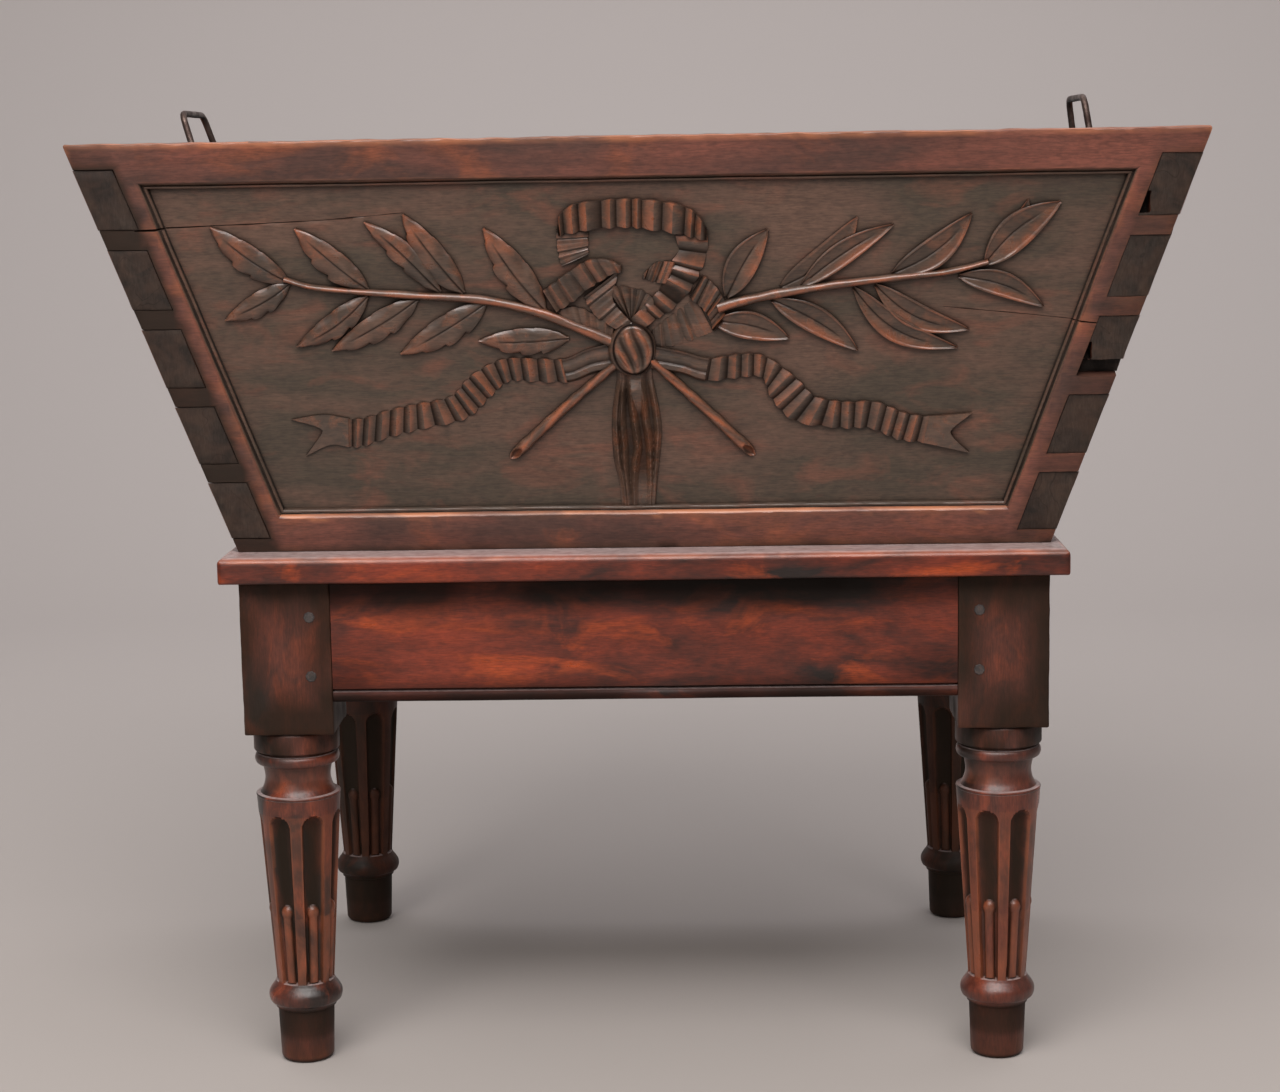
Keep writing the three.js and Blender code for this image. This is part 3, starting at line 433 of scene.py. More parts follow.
def mesh_of(name: str, shell: Shell, crease: float) -> Mesh:
    """Makes a Blender mesh, in metres, from a shell.

    Args:
        name: the mesh's name.
        shell: the shell, in millimetres.
        crease: the angle in degrees above which an edge is shaded sharp.

    Returns:
        The mesh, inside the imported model's box, with its normals out and the shell's shares as attributes.
    """
    low, high = (np.array(corner) / MM for corner in CAD_BOX)
    mesh = bpy.data.meshes.new(name)
    mesh.from_pydata((np.clip(shell.points, low, high) * MM).tolist(), [], shell.faces)
    work = bmesh.new()
    work.from_mesh(mesh)
    bmesh.ops.recalc_face_normals(work, faces=work.faces)
    work.to_mesh(mesh)
    work.free()
    for label in ("rub", "sunk"):
        values = getattr(shell, label).astype(np.float32)
        mesh.attributes.new(label, "FLOAT", "POINT").data.foreach_set("value", values)
    mesh.shade_smooth()
    mesh.set_sharp_from_angle(angle=math.radians(crease))
    return mesh


def place_piece(name: str, mesh: Mesh, body: str, nodes: list[str]) -> None:
    """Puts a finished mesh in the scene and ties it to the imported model.

    Args:
        name: the piece's name.
        mesh: its mesh, in metres and in place.
        body: the body that it rides on.
        nodes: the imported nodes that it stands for.
    """
    piece = bpy.data.objects.new(name, mesh)
    bpy.context.scene.collection.objects.link(piece)
    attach(piece, body)
    if nodes:
        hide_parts(*nodes)
    LOG.info("%s: %d faces on %s", name, len(mesh.polygons), body)


def shell_piece(
    name: str, shell: Shell, finish: Material, body: str, nodes: list[str], crease: float = 40.0
) -> None:
    """Makes a piece from a shell and one finish.

    Args:
        name: the piece's name.
        shell: its shell, in place.
        finish: its material.
        body: the body that it rides on.
        nodes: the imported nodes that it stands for.
        crease: the angle in degrees above which an edge is shaded sharp.
    """
    mesh = mesh_of(name, shell, crease)
    mesh.materials.append(finish)
    place_piece(name, mesh, body, nodes)


# Nodes


MATH, RANGE = "ShaderNodeMath", "ShaderNodeMapRange"


def add_node(
    tree: NodeTree, kind: str, inputs: tuple | dict = (), output: int | str = 0, **settings: object
) -> "Wire | None":
    """Adds a node with its settings, values and links.

    Args:
        tree: the shader or geometry tree.
        kind: the node's type.
        inputs: values or wires, in the order of the inputs or by name or number. A list joins several wires.
        output: the output that is wanted.
        settings: the node's properties.

    Returns:
        The wire that leaves the node, if it has one.
    """
    node = tree.nodes.new(kind)
    for name, value in settings.items():
        setattr(node, name, value)
    for key, value in inputs.items() if isinstance(inputs, dict) else enumerate(inputs):
        if isinstance(value, (Wire, list)):
            for wire in value if isinstance(value, list) else [value]:
                tree.links.new(wire.socket, node.inputs[key])
        else:
            node.inputs[key].default_value = value
    return Wire(node.outputs[output]) if node.outputs else None


class Wire:
    """What a node gives. Arithmetic on wires adds the nodes that work it out."""

    def __init__(self, socket: NodeSocket) -> None:
        """Wraps a node's output."""
        self.socket = socket

    def __getitem__(self, name: str) -> "Wire":
        """Another output of the same node."""
        return Wire(self.socket.node.outputs[name])

    def into(self, kind: str, *others: object, **settings: object) -> "Wire":
        """The output of a new node, whose inputs are this wire and then the others."""
        return add_node(self.socket.id_data, kind, (self, *others), **settings)

    def __rsub__(self, number: float) -> "Wire":
        """A number less this wire."""
        return add_node(self.socket.id_data, MATH, (number, self), operation="SUBTRACT")

    __add__ = __radd__ = partialmethod(into, MATH, operation="ADD")
    __mul__ = __rmul__ = partialmethod(into, MATH, operation="MULTIPLY")
    __sub__ = partialmethod(into, MATH, operation="SUBTRACT")
    __truediv__ = partialmethod(into, MATH, operation="DIVIDE")
    __pow__ = partialmethod(into, MATH, operation="POWER")
    __abs__ = partialmethod(into, MATH, operation="ABSOLUTE")
    __lt__ = partialmethod(into, MATH, operation="LESS_THAN")
    __gt__ = partialmethod(into, MATH, operation="GREATER_THAN")
    most = partialmethod(into, MATH, operation="MAXIMUM")
    least = partialmethod(into, MATH, operation="MINIMUM")


class ShapeTree:
    """A Geometry Nodes tree with named inputs, which turns a source mesh into a finished one."""

    def __init__(self, name: str, names: str, counts: tuple[str, ...] = ()) -> None:
        """Makes the tree's sockets.

        Args:
            name: the tree's name.
            names: the inputs that take a decimal number, with commas between them.
            counts: those that take a whole number.
        """
        self.tree = bpy.data.node_groups.new(name, "GeometryNodeTree")
        face = self.tree.interface
        face.new_socket("Geometry", in_out="OUTPUT", socket_type="NodeSocketGeometry")
        kinds = {"Geometry": "Geometry", **dict.fromkeys(names.split(", "), "Float")}
        kinds |= {**dict.fromkeys(counts, "Int"), "Finish": "Material"}
        self.identifiers = {
            label: face.new_socket(label, in_out="INPUT", socket_type=f"NodeSocket{kind}").identifier
            for label, kind in kinds.items()
        }
        self.add = partial(add_node, self.tree)
        self.entry = self.add("NodeGroupInput")

    def stored(self, geometry: Wire, **values: Wire) -> Wire:
        """The geometry with named values stored on its points."""
        for name, value in values.items():
            inputs = {"Geometry": geometry, "Name": name, "Value": value}
            geometry = self.add("GeometryNodeStoreNamedAttribute", inputs, data_type="FLOAT", domain="POINT")
        return geometry

    def end_with(self, geometry: Wire) -> None:
        """Closes the tree: instances made real, the finish set, and the output.

        Args:
            geometry: what the tree has made.
        """
        real = self.add("GeometryNodeRealizeInstances", (geometry,))
        inputs = {"Geometry": real, "Material": self.entry["Finish"]}
        self.add("NodeGroupOutput", (self.add("GeometryNodeSetMaterial", inputs),))

    def end_with_copies(self, item: Wire, spin: Wire | None = None) -> None:
        """Closes the tree with the item at each source point, square to the point's axis attribute.

        Args:
            item: what is copied.
            spin: how far each copy is turned about its own axis.
        """
        axis = self.add("GeometryNodeInputNamedAttribute", {"Name": "axis"}, data_type="FLOAT_VECTOR")
        turn = self.add("FunctionNodeAlignRotationToVector", {"Vector": axis}, axis="Z")
        if spin:
            spun = self.add("FunctionNodeAxisAngleToRotation", {"Axis": tuple(UP), "Angle": spin})
            inputs = {"Rotation": turn, "Rotate By": spun}
            turn = self.add("FunctionNodeRotateRotation", inputs, rotation_space="LOCAL")
        inputs = {"Points": self.entry["Geometry"], "Instance": item, "Rotation": turn}
        self.end_with(self.add("GeometryNodeInstanceOnPoints", inputs))

    def run(self, points: list, faces: list, values: dict[str, object], axes: list = ()) -> Mesh:
        """Runs the tree on a new source mesh.

        Args:
            points: the source's points, in metres.
            faces: its faces, if it has any.
            values: the value of each named input.
            axes: the axis attribute of all the points in a row, if the tree reads it.

        Returns:
            The plain mesh that comes out.
        """
        source = bpy.data.meshes.new(self.tree.name)
        source.from_pydata(points, [], faces)
        if axes:
            source.attributes.new("axis", "FLOAT_VECTOR", "POINT").data.foreach_set("vector", axes)
        carrier = bpy.data.objects.new("carrier", source)
        bpy.context.scene.collection.objects.link(carrier)
        modifier = carrier.modifiers.new("shape", "NODES")
        modifier.node_group = self.tree
        for label, value in values.items():
            modifier[self.identifiers[label]] = value
        depsgraph = bpy.context.evaluated_depsgraph_get()
        made = bpy.data.meshes.new_from_object(
            carrier.evaluated_get(depsgraph), preserve_all_data_layers=True, depsgraph=depsgraph
        )
        carrier.modifiers.remove(modifier)
        bpy.data.objects.remove(carrier)
        bpy.data.meshes.remove(source)
        return made


# Finishes


def linear(colour: str) -> tuple[float, float, float, float]:
    """Turns an sRGB hex colour to linear values with full alpha."""
    parts = [int(colour[i : i + 2], 16) / 255 for i in (1, 3, 5)]
    return (*[p / 12.92 if p <= 0.04045 else ((p + 0.055) / 1.055) ** 2.4 for p in parts], 1.0)


def empty_material(name: str) -> tuple[Material, partial]:
    """Starts a material.

    Args:
        name: its name.

    Returns:
        The material, without nodes, and the function that adds nodes to it.
    """
    material = bpy.data.materials.new(name)
    material.use_nodes = True
    material.node_tree.nodes.clear()
    return material, partial(add_node, material.node_tree)


@dataclass(frozen=True)
class OldWood:
    """Hand-planed wood that was stained, waxed and handled for two centuries.

    Dark wax gathers in hollows, figure runs along the grain, and arrises are rubbed back to bright wood.
    The hollows that ambient occlusion finds, and the sunk share, also carry painted shade, and on some
    pieces the rub share carries painted highlights.
    Pattern sizes are in millimetres.
    """

    name: str
    grain: Grain
    deep: str
    body: str
    warm: str
    rubbed: str
    crevice: str = "#120c0a"
    patch: float = 90.0
    patch_stretch: float = 2.6
    body_from: float = 0.40
    body_to: float = 0.60
    warm_from: float = 0.52
    warm_to: float = 0.68
    warm_share: float = 0.8
    figure: float = 9.0
    mottle: float = 5.0
    pore: float = 1.3
    pore_depth: float = 0.12
    darkening_reach: float = 11.0
    darkening_share: float = 0.85
    wax: float = 0.25
    gloss: float = 0.30
    dull: float = 0.52
    checks: float = 0.0
    dust_and_sheen: float = 0.0
    dust_and_sheen_colour: str = "#b8a6a4"
    streak: float = 0.2
    sheen: float = 0.5

    def material(self) -> Material:
        """Builds the material.

        Returns:
            The material.
        """
        material, add = empty_material(self.name)
        place = add("ShaderNodeTexCoord", output="Object")

        def pattern(across: float, stretch: float, detail: float, distortion: float, shift: float) -> Wire:
            """Adds a noise pattern.

            Args:
                across: its size across the grain.
                stretch: how far it is drawn out along the grain.
                detail: its layers of finer noise.
                distortion: how far it is warped.
                shift: an offset that keeps patterns apart.

            Returns:
                The noise, from 0 to 1.
            """
            scale = [1 / (across * MM)] * 3
            scale[self.grain.value] /= stretch
            inputs = {"Vector": place, "Location": (shift,) * 3, "Scale": tuple(scale)}
            scaled = add("ShaderNodeMapping", inputs)
            return add("ShaderNodeTexNoise", {
                "Vector": scaled, "Scale": 1.0, "Detail": detail, "Roughness": 0.58, "Distortion": distortion,
            })

        patches = pattern(self.patch, self.patch_stretch, 5.0, 0.4, 0.0)
        blotches = pattern(self.patch * 0.55, self.patch_stretch * 0.8, 5.0, 0.8, 7.3)
        figure = pattern(self.figure, 14.0, 4.0, 0.5, 3.1)
        pores = pattern(self.pore, 8.0, 2.0, 0.0, 1.7)
        mottle = pattern(self.mottle, 1.8, 6.0, 0.3, 5.2)
        rub, sunk = (add("ShaderNodeAttribute", (), "Fac", attribute_name=name) for name in ("rub", "sunk"))
        hollow = add("ShaderNodeAmbientOcclusion", {"Distance": self.darkening_reach * MM}, "AO", samples=6)

        layers = [
            ("MIX", patches.into(RANGE, self.body_from, self.body_to), linear(self.body)),
            ("MIX", blotches.into(RANGE, self.warm_from, self.warm_to, 0, self.warm_share), linear(self.warm)),
        ]
        for tone in (
            figure.into(RANGE, 0.3, 0.7, 0.96 - self.streak, 0.96 + self.streak),
            mottle.into(RANGE, 0.3, 0.7, 0.8, 1.18), pores.into(RANGE, 0.35, 0.6, 0.74, 1.08),
        ):
            layers.append(("MULTIPLY", 1.0, add("ShaderNodeCombineColor", (tone, tone, tone))))
        # Hollows found by ambient occlusion, and the sunk share, darken toward the crevice colour: dark wax
        # and painted shade.
        darkening = hollow.into(RANGE, 0.35, 0.95, self.darkening_share, 0).most(sunk)
        layers.append(("MIX", rub * blotches.into(RANGE, 0.36, 0.55, 0.25, 1), linear(self.rubbed)))
        layers.append(("MIX", darkening, linear(self.crevice)))
        if self.checks:
            ridge = abs(pattern(self.checks, 1.0, 1.5, 1.2, 11.0) - 0.5)
            layers.append(("MIX", ridge.into(RANGE, 0.0, 0.005, 0.6, 0), linear(self.crevice)))
        # Pale dust on faces that look up, which also paints the pale reflection on the frame's waxed top.
        if self.dust_and_sheen:
            level = add("ShaderNodeSeparateXYZ", (add("ShaderNodeTexCoord", output="Normal"),), "Z")
            lying = level.into(RANGE, 0.72, 0.98, 0, self.dust_and_sheen) * mottle.into(RANGE, 0.3, 0.6, 0.55, 1)
            layers.append(("MIX", lying, linear(self.dust_and_sheen_colour)))
        base = linear(self.deep)
        for kind, share, colour in layers:
            inputs = {0: share, 6: base, 7: colour}
            base = add("ShaderNodeMix", inputs, 2, data_type="RGBA", blend_type=kind)

        shine = blotches.into(RANGE, 0.3, 0.7, self.dull, self.gloss)
        shine = darkening.into(MATH, 0.25, shine, operation="MULTIPLY_ADD", use_clamp=True)
        fine = add("ShaderNodeBump", {"Strength": 1.0, "Distance": self.pore_depth * MM, "Height": pores})
        soft = add("ShaderNodeBump", {
            "Strength": 1.0, "Distance": 3 * self.pore_depth * MM, "Height": figure, "Normal": fine,
        })
        surface = add("ShaderNodeBsdfPrincipled", {
            "Base Color": base, "Roughness": shine, "Normal": soft, "Coat Roughness": 0.22,
            "Specular IOR Level": darkening.into(RANGE, 0.1, 0.9, self.sheen, 0.1),
            "Coat Weight": darkening.into(RANGE, 0, 0.7, self.wax, 0),
        })
        add("ShaderNodeOutputMaterial", {"Surface": surface})
        return material


@dataclass(frozen=True)
class OldMetal:
    """Metal with a patina: zinc sheet gone dull and cloudy, or forged iron gone brown.

    Pattern sizes are in millimetres.
    """

    name: str
    clean: str
    patina: str
    cloud: float
    grit: float
    metallic: float
    gloss: float
    dull: float
    pit_depth: float
    grime: str = "#1b1613"
    grime_reach: float = 8.0

    def material(self) -> Material:
        """Builds the material.

        Returns:
            The material.
        """
        material, add = empty_material(self.name)
        place = add("ShaderNodeTexCoord", output="Object")
        clouds, grit = (
            add("ShaderNodeTexNoise", {
                "Vector": place, "Scale": 1 / (size * MM), "Detail": 5.0, "Roughness": 0.6, "Distortion": 0.5,
            })
            for size in (self.cloud, self.grit)
        )
        hollow = add("ShaderNodeAmbientOcclusion", {"Distance": self.grime_reach * MM}, "AO", samples=6)
        share = clouds.into(RANGE, 0.38, 0.62)
        colour = linear(self.patina)
        for cover, over in ((share, self.clean), (hollow.into(RANGE, 0.4, 0.95, 0.7, 0.0), self.grime)):
            colour = add("ShaderNodeMix", {0: cover, 6: colour, 7: linear(over)}, 2, data_type="RGBA")
        bump = add("ShaderNodeBump", {"Strength": 1.0, "Distance": self.pit_depth * MM, "Height": grit})
        surface = add("ShaderNodeBsdfPrincipled", {
            "Base Color": colour, "Metallic": self.metallic, "Normal": bump,
            "Roughness": share.into(RANGE, 0.0, 1.0, self.dull, self.gloss),
        })
        add("ShaderNodeOutputMaterial", {"Surface": surface})
        return material


@dataclass(frozen=True)
class StudioPaper:
    """Matt grey background paper, swept up behind the object."""

    name: str = "grey_studio_paper"
    colour: str = "#aca6a2"

    def material(self) -> Material:
        """Builds the material.

        Returns:
            The material.
        """
        material, add = empty_material(self.name)
        surface = add("ShaderNodeBsdfPrincipled", {"Base Color": linear(self.colour), "Roughness": 0.8})
        add("ShaderNodeOutputMaterial", {"Surface": surface})
        return material


class Finishes:
    """All the finishes, each built once."""

    def __init__(self) -> None:
        """Builds the materials."""
        # Walnut in the light, handled most: reddish brown with rubbed, almost orange arrises.
        self.border = OldWood(
            "waxed_walnut_border", Grain.ALONG_X, deep="#492e26", body="#6f3e31", warm="#8c4b2e",
            rubbed="#c07a52", crevice="#2f2823", darkening_reach=9.0, warm_share=0.55,
        ).material()
        # The same board below the carver's ground tools: greyer, duller and full of old wax.
        # Its wide occlusion reach paints shade round the carving.
        self.ground = OldWood(
            "waxed_walnut_sunk_ground", Grain.ALONG_X, deep="#43372b", body="#5a4235", warm="#7b4836",
            rubbed="#8a5540", warm_share=0.45, gloss=0.36, dull=0.55, patch=55.0, patch_stretch=3.0,
            streak=0.1, darkening_reach=17.0,
        ).material()
        # Carved walnut, polished by brushing: glossy crests over dark, waxy hollows that also hold painted
        # shade.
        self.carved = OldWood(
            "waxed_walnut_carving", Grain.ALONG_X, deep="#42342a", body="#584235", warm="#6f4835",
            rubbed="#9a5535", patch=34.0, patch_stretch=1.4, warm_from=0.5, warm_to=0.65, darkening_reach=7.0,
            gloss=0.22, dull=0.38, streak=0.1, wax=0.5,
        ).material()
        # Sawn end grain, which drinks stain and wax: almost black, matt, with fine drying checks.
        self.end_grain = OldWood(
            "waxed_walnut_end_grain", Grain.ALONG_Z, deep="#221e1b", body="#312a25", warm="#3e3128",
            rubbed="#6b4c3d", warm_share=0.4, patch=40.0, patch_stretch=1.0, figure=3.0, checks=70.0,
            gloss=0.45, dull=0.65, wax=0.05, sheen=0.25,
        ).material()
        # Planed walnut ends, less worn than the front.
        self.end_board = OldWood(
            "waxed_walnut_end_board", Grain.ALONG_Y, deep="#46302a", body="#6f4031", warm="#8a4c31",
            rubbed="#a8694a",
        ).material()
        # Stained cherry: a bright red-brown middle, darker toward every edge, with painted shade under the
        # frame, and dust on top that also paints the pale reflection of the frame's top.
        rail = OldWood(
            "waxed_cherry_rail", Grain.ALONG_X, deep="#1e110d", body="#7c2f19", warm="#a2431b",
            rubbed="#a85a38", crevice="#1b1512", darkening_reach=40.0, patch=80.0, body_from=0.41, body_to=0.59,
            gloss=0.26, dull=0.46, dust_and_sheen=0.75, wax=0.12,
        )
        side_rail = replace(
            rail, name="waxed_cherry_side_rail", grain=Grain.ALONG_Y, body_from=0.40, body_to=0.60
        )
        self.rails = (rail.material(), side_rail.material())
        # Turned cherry: darker than the rails, with the grain up the leg and gloss on the beads.
        self.leg = OldWood(
            "waxed_cherry_leg", Grain.ALONG_Z, deep="#2a1e1a", body="#643022", warm="#863e26",
            rubbed="#945233", crevice="#282019", darkening_reach=14.0, patch=60.0, gloss=0.26, dull=0.44, dust_and_sheen=0.6,
            wax=0.15,
        ).material()
        # Riven oak, end on: small, grey and dull.
        self.peg = OldWood(
            "oak_peg_end_grain", Grain.ALONG_Y, deep="#2c2827", body="#443c3a", warm="#503f38",
            rubbed="#6d5c54", patch=12.0, patch_stretch=1.0, figure=3.0, gloss=0.4, dull=0.6,
        ).material()
        # Raw poplar that never saw wax: pale, dry and rough.
        self.inside = OldWood(
            "dry_poplar_boards", Grain.ALONG_X, deep="#5e4837", body="#7b6049", warm="#8d6c4d",
            rubbed="#9c8063", crevice="#2a1f17", wax=0.0, gloss=0.6, dull=0.85, pore_depth=0.2,
        ).material()
        # Rolled zinc with a cloudy grey patina, brighter tin in the seams, and brown hammered iron.
        self.zinc, self.solder, self.iron = (finish.material() for finish in (
            OldMetal("dull_zinc_sheet", "#8d9194", "#6d7173", 90.0, 2.5, 0.85, 0.38, 0.6, 0.05),
            OldMetal("grey_tin_solder", "#9fa1a0", "#7b7d7c", 18.0, 1.6, 0.85, 0.34, 0.5, 0.12),
            OldMetal("forged_iron_brown_patina", "#5b4c46", "#3a2b26", 14.0, 1.2, 0.7, 0.34, 0.55, 0.16),
        ))
        self.paper = StudioPaper().material()


# The trough


@dataclass(frozen=True)
class TroughShape:
    """The trough's outer faces and its corner joints. Lengths are in millimetres."""

    rim_width: float = 1040.0
    rim_depth: float = 640.0
    rim_height: float = 892.0
    base_width: float = 774.0
    base_depth: float = 502.0
    base_height: float = 506.3
    thickness: float = 36.0
    tail_count: int = 5
    top_pin: float = 24.0
    base_pin: float = 13.0
    pin_width: float = 18.0

    @property
    def height(self) -> float:
        """The height of the boards."""
        return self.rim_height - self.base_height

    @property
    def end_splay(self) -> float:
        """How far an end leans out for each millimetre up."""
        return (self.rim_width - self.base_width) / 2 / self.height

    @property
    def side_splay(self) -> float:
        """How far the front and the back lean out for each millimetre up."""
        return (self.rim_depth - self.base_depth) / 2 / self.height

    @property
    def end_run(self) -> float:
        """The thickness of an end board, measured level."""
        return self.thickness * math.hypot(1, self.end_splay)

    @property
    def tail_pitch(self) -> float:
        """The height of one tail and the pin above it."""
        pins = self.top_pin + self.base_pin + (self.tail_count - 1) * self.pin_width
        return (self.height - pins) / self.tail_count + self.pin_width

    def half_width(self, z: float | Array) -> float | Array:
        """Half the outer width at a height."""
        return self.base_width / 2 + (z - self.base_height) * self.end_splay

    def half_depth(self, z: float | Array) -> float | Array:
        """Half the outer depth at a height."""
        return self.base_depth / 2 + (z - self.base_height) * self.side_splay

    def tail_low(self, tail: int) -> float:
        """The lower edge of a tail, counted from the foot."""
        return self.base_height + self.base_pin + tail * self.tail_pitch

    def joint_band(self, z: Array) -> Array:
        """The number of the pin or tail at each height, even for a pin and odd for a tail."""
        count, run = np.divmod(z - self.base_height - self.base_pin + self.pin_width, self.tail_pitch)
        return (2 * count + (run > self.pin_width)).astype(int)


@dataclass(frozen=True)
class CarvedFace:
    """The front board's outer face and its sunk panel. Places are x along the face and v up its slope."""

    trough: TroughShape = TroughShape()
    top_border: float = 38.5
    base_border: float = 34.5
    side_border: float = 17.0
    depth: float = 9.0

    @property
    def matrix(self) -> Matrix:
        """Carries places on the face (x, v, and height above it) to the object's frame."""
        turn = Matrix.Rotation(math.pi / 2 + math.atan(self.trough.side_splay), 4, "X")
        return Matrix.Translation((0, -self.trough.base_depth / 2, self.trough.base_height)) @ turn

    @property
    def slope(self) -> float:
        """The length of the face from foot to rim."""
        return self.trough.height * math.hypot(1, self.trough.side_splay)

    @property
    def panel_height(self) -> float:
        """The height of the sunk panel, up the slope."""
        return self.slope - self.top_border - self.base_border

    def panel_half_width(self, v: float | Array) -> float | Array:
        """Half the width of the sunk panel at a place up the slope."""
        z = self.trough.base_height + v / self.slope * self.trough.height
        return self.trough.half_width(z) - self.trough.end_run - self.side_border

    def at(self, share: Share) -> Share:
        """A place on the face from shares of the panel's half top width and of its height."""
        half_top = self.panel_half_width(self.base_border + self.panel_height)
        return share[0] * half_top, self.base_border + share[1] * self.panel_height

    def on_face(self, points: Array) -> Array:
        """Carries points in the object's frame to places on the face."""
        turn = np.array(self.matrix.inverted())
        return points @ turn[:3, :3].T + turn[:3, 3]

    def placed(self, shell: Shell) -> Shell:
        """Carries a shell from the face to the object's frame."""
        turn = np.array(self.matrix)
        return replace(shell, points=shell.points @ turn[:3, :3].T + turn[:3, 3])


@dataclass(frozen=True)
class Boards:
    """The four boards of the trough, dovetailed at the corners and worn by two centuries of use."""

    face: CarvedFace
    finishes: Finishes
    moulding: tuple[Share, ...] = (
        (-3.0, 0.5), (-1.6, -0.15), (-0.4, -0.9), (0.6, -2.0), (1.3, -3.4), (1.7, -5.0), (2.4, -5.4),
        (2.8, -4.3), (4.4, -4.4), (5.3, -5.4), (6.0, -9.0),
    )
    crack_shares: tuple[tuple[Share, ...], ...] = (
        ((-1.015, 0.866), (-0.93, 0.87), (-0.78, 0.876), (-0.64, 0.884), (-0.47, 0.902)),
        ((0.936, 0.556), (0.9, 0.561), (0.75, 0.585), (0.62, 0.605)),
    )
    opening: float = 3.0
    rim_arris: float = 3.2
    corner_round: float = 5.0
    step: float = 1.3
    end_grain_facing: float = 0.82

    def panel_cutter(self) -> Shell:
        """Shapes the sunk panel, with a small stepped moulding round its edge.

        Returns:
            The cutter, in the object's frame.
        """
        face, (lip_inset, lip_height) = self.face, self.moulding[0]
        rings = []
        for inset, height in ((lip_inset - 2 * self.opening, lip_height + self.opening), *self.moulding):
            low, high = face.base_border + inset, face.base_border + face.panel_height - inset
            half_low, half_high = (face.panel_half_width(v) - inset for v in (low, high))
            rings.append([
                (-half_low, low, height), (half_low, low, height), (half_high, high, height),
                (-half_high, high, height),
            ])
        return face.placed(loft(np.array(rings)))

    def crack(self, shares: tuple[Share, ...], width: float, depth: float) -> Shell:
        """Shapes a drying crack that opens towards its first place.

        Args:
            shares: points along the crack, as shares of the panel.
            width: its widest opening.
            depth: how deep it goes below the face.

        Returns:
            The cutter, in the object's frame.
        """
        rings = []
        for i, (x, v) in enumerate(map(self.face.at, shares)):
            half = width / 2 * (1 - 0.8 * i / (len(shares) - 1))
            rings.append([
                (x, v - half, self.opening), (x, v + half, self.opening), (x, v + half / 4, -depth),
                (x, v - half / 4, -depth),
            ])
        return self.face.placed(loft(np.array(rings)))

    def chip(self, low: Place, high: Place, seed: int) -> Shell:
        """Shapes a broken-out hollow with rough faces.

        Args:
            low: its lowest corner in the object's frame.
            high: its highest corner.
            seed: the fixed seed of its roughness.

        Returns:
            The cutter.
        """
        mesh = bmesh.new()
        bmesh.ops.create_cube(mesh, size=1)
        bmesh.ops.subdivide_edges(mesh, edges=mesh.edges, cuts=5, use_grid_fill=True)
        points, faces = np.array([vert.co for vert in mesh.verts]), faces_of(mesh)
        mesh.free()
        placed = np.array(low) + (points + 0.5) * (np.array(high) - np.array(low))
        return Shell(placed + 0.9 * Unevenness(seed, longest=14.0, shortest=4.0).at(placed), faces)

    def chips(self, wanted: Side) -> list[Shell]:
        """Shapes the chips at the front joints of one end board.

        Args:
            wanted: the end board's side.

        Returns:
            The cutters.
        """
        trough = self.face.trough
        run, middle, top = trough.end_run, trough.tail_low(2), trough.tail_low(4)
        made = []
        for side, x_level, level, (x_low, x_high), (y_low, y_high), (z_low, z_high), seed in (
            (Side.RIGHT, middle, middle, (-3, 30 + run), (-14, 15), (-4, 15), 31),
            (Side.RIGHT, middle + 20, middle, (-8, 6), (-14, 12), (15, 32), 37),
            (Side.RIGHT, top, top, (-9, 10), (-14, 12), (2, 22), 41),
            (Side.LEFT, middle, middle, (-7, 6), (-10, 8), (76, 82), 43),
        ):
            if side is wanted:
                x, y = side.value * (trough.half_width(x_level) - run), -trough.half_depth(level)
                low, high = (x + x_low, y + y_low, level + z_low), (x + x_high, y + y_high, level + z_high)
                made.append(self.chip(low, high, seed))
        return made

    def stepped(self, shell: Shell, along: int, seed: int) -> Shell:
        """Sinks each pin's or tail's end a little, as shrinking boards do, and wears the rim.

        Args:
            shell: the board.
            along: the axis on which the ends face out, 0 or 1.
            seed: the fixed seed of the steps.

        Returns:
            The board with stepped ends.
        """
        trough, points = self.face.trough, shell.points.copy()
        outer = (trough.half_width if along == 0 else trough.half_depth)(points[:, 2])
        near = np.abs(points[:, along]) > outer - 4
        sink = np.random.default_rng(seed).uniform(0, self.step, size=4 * trough.tail_count + 8)
        far_end = (2 * trough.tail_count + 4) * (points[:, along] > 0)
        amount = sink[trough.joint_band(points[:, 2]) + 2 + far_end]
        points[:, along] -= np.sign(points[:, along]) * near * amount
        return replace(shell, points=self.worn_rim(points))

    def worn_rim(self, points: Array) -> Array:
        """Wears the rim down unevenly and pulls in its four outer corners to a round.

        Args:
            points: a board's points.

        Returns:
            The moved points.
        """
        trough, radius = self.face.trough, self.corner_round
        loss = 0.3 + 1.1 * HAND_WORK.at(points)[:, 2] + 0.8 * KNOCKS.at(points)[:, 2]
        near_rim = clipped(1 - (trough.rim_height - points[:, 2]) / 5)
        points = points - (clipped(loss, 0, 2.6) * near_rim)[:, None] * UP
        x, y, z = points.T
        beyond = (np.abs(x) - trough.half_width(z), np.abs(y) - trough.half_depth(z), z - trough.rim_height)
        reach = np.maximum(np.stack(beyond, axis=1) + radius, 0)
        length = np.linalg.norm(reach, axis=1)
        at_corner = (reach[:, 0] > 0) & (reach[:, 1] > 0) & (length > radius)
        pull = reach * ((1 - radius / np.maximum(length, radius)) * at_corner)[:, None]
        return points - pull * np.stack([np.sign(x), np.sign(y), np.ones(len(z))], axis=1)

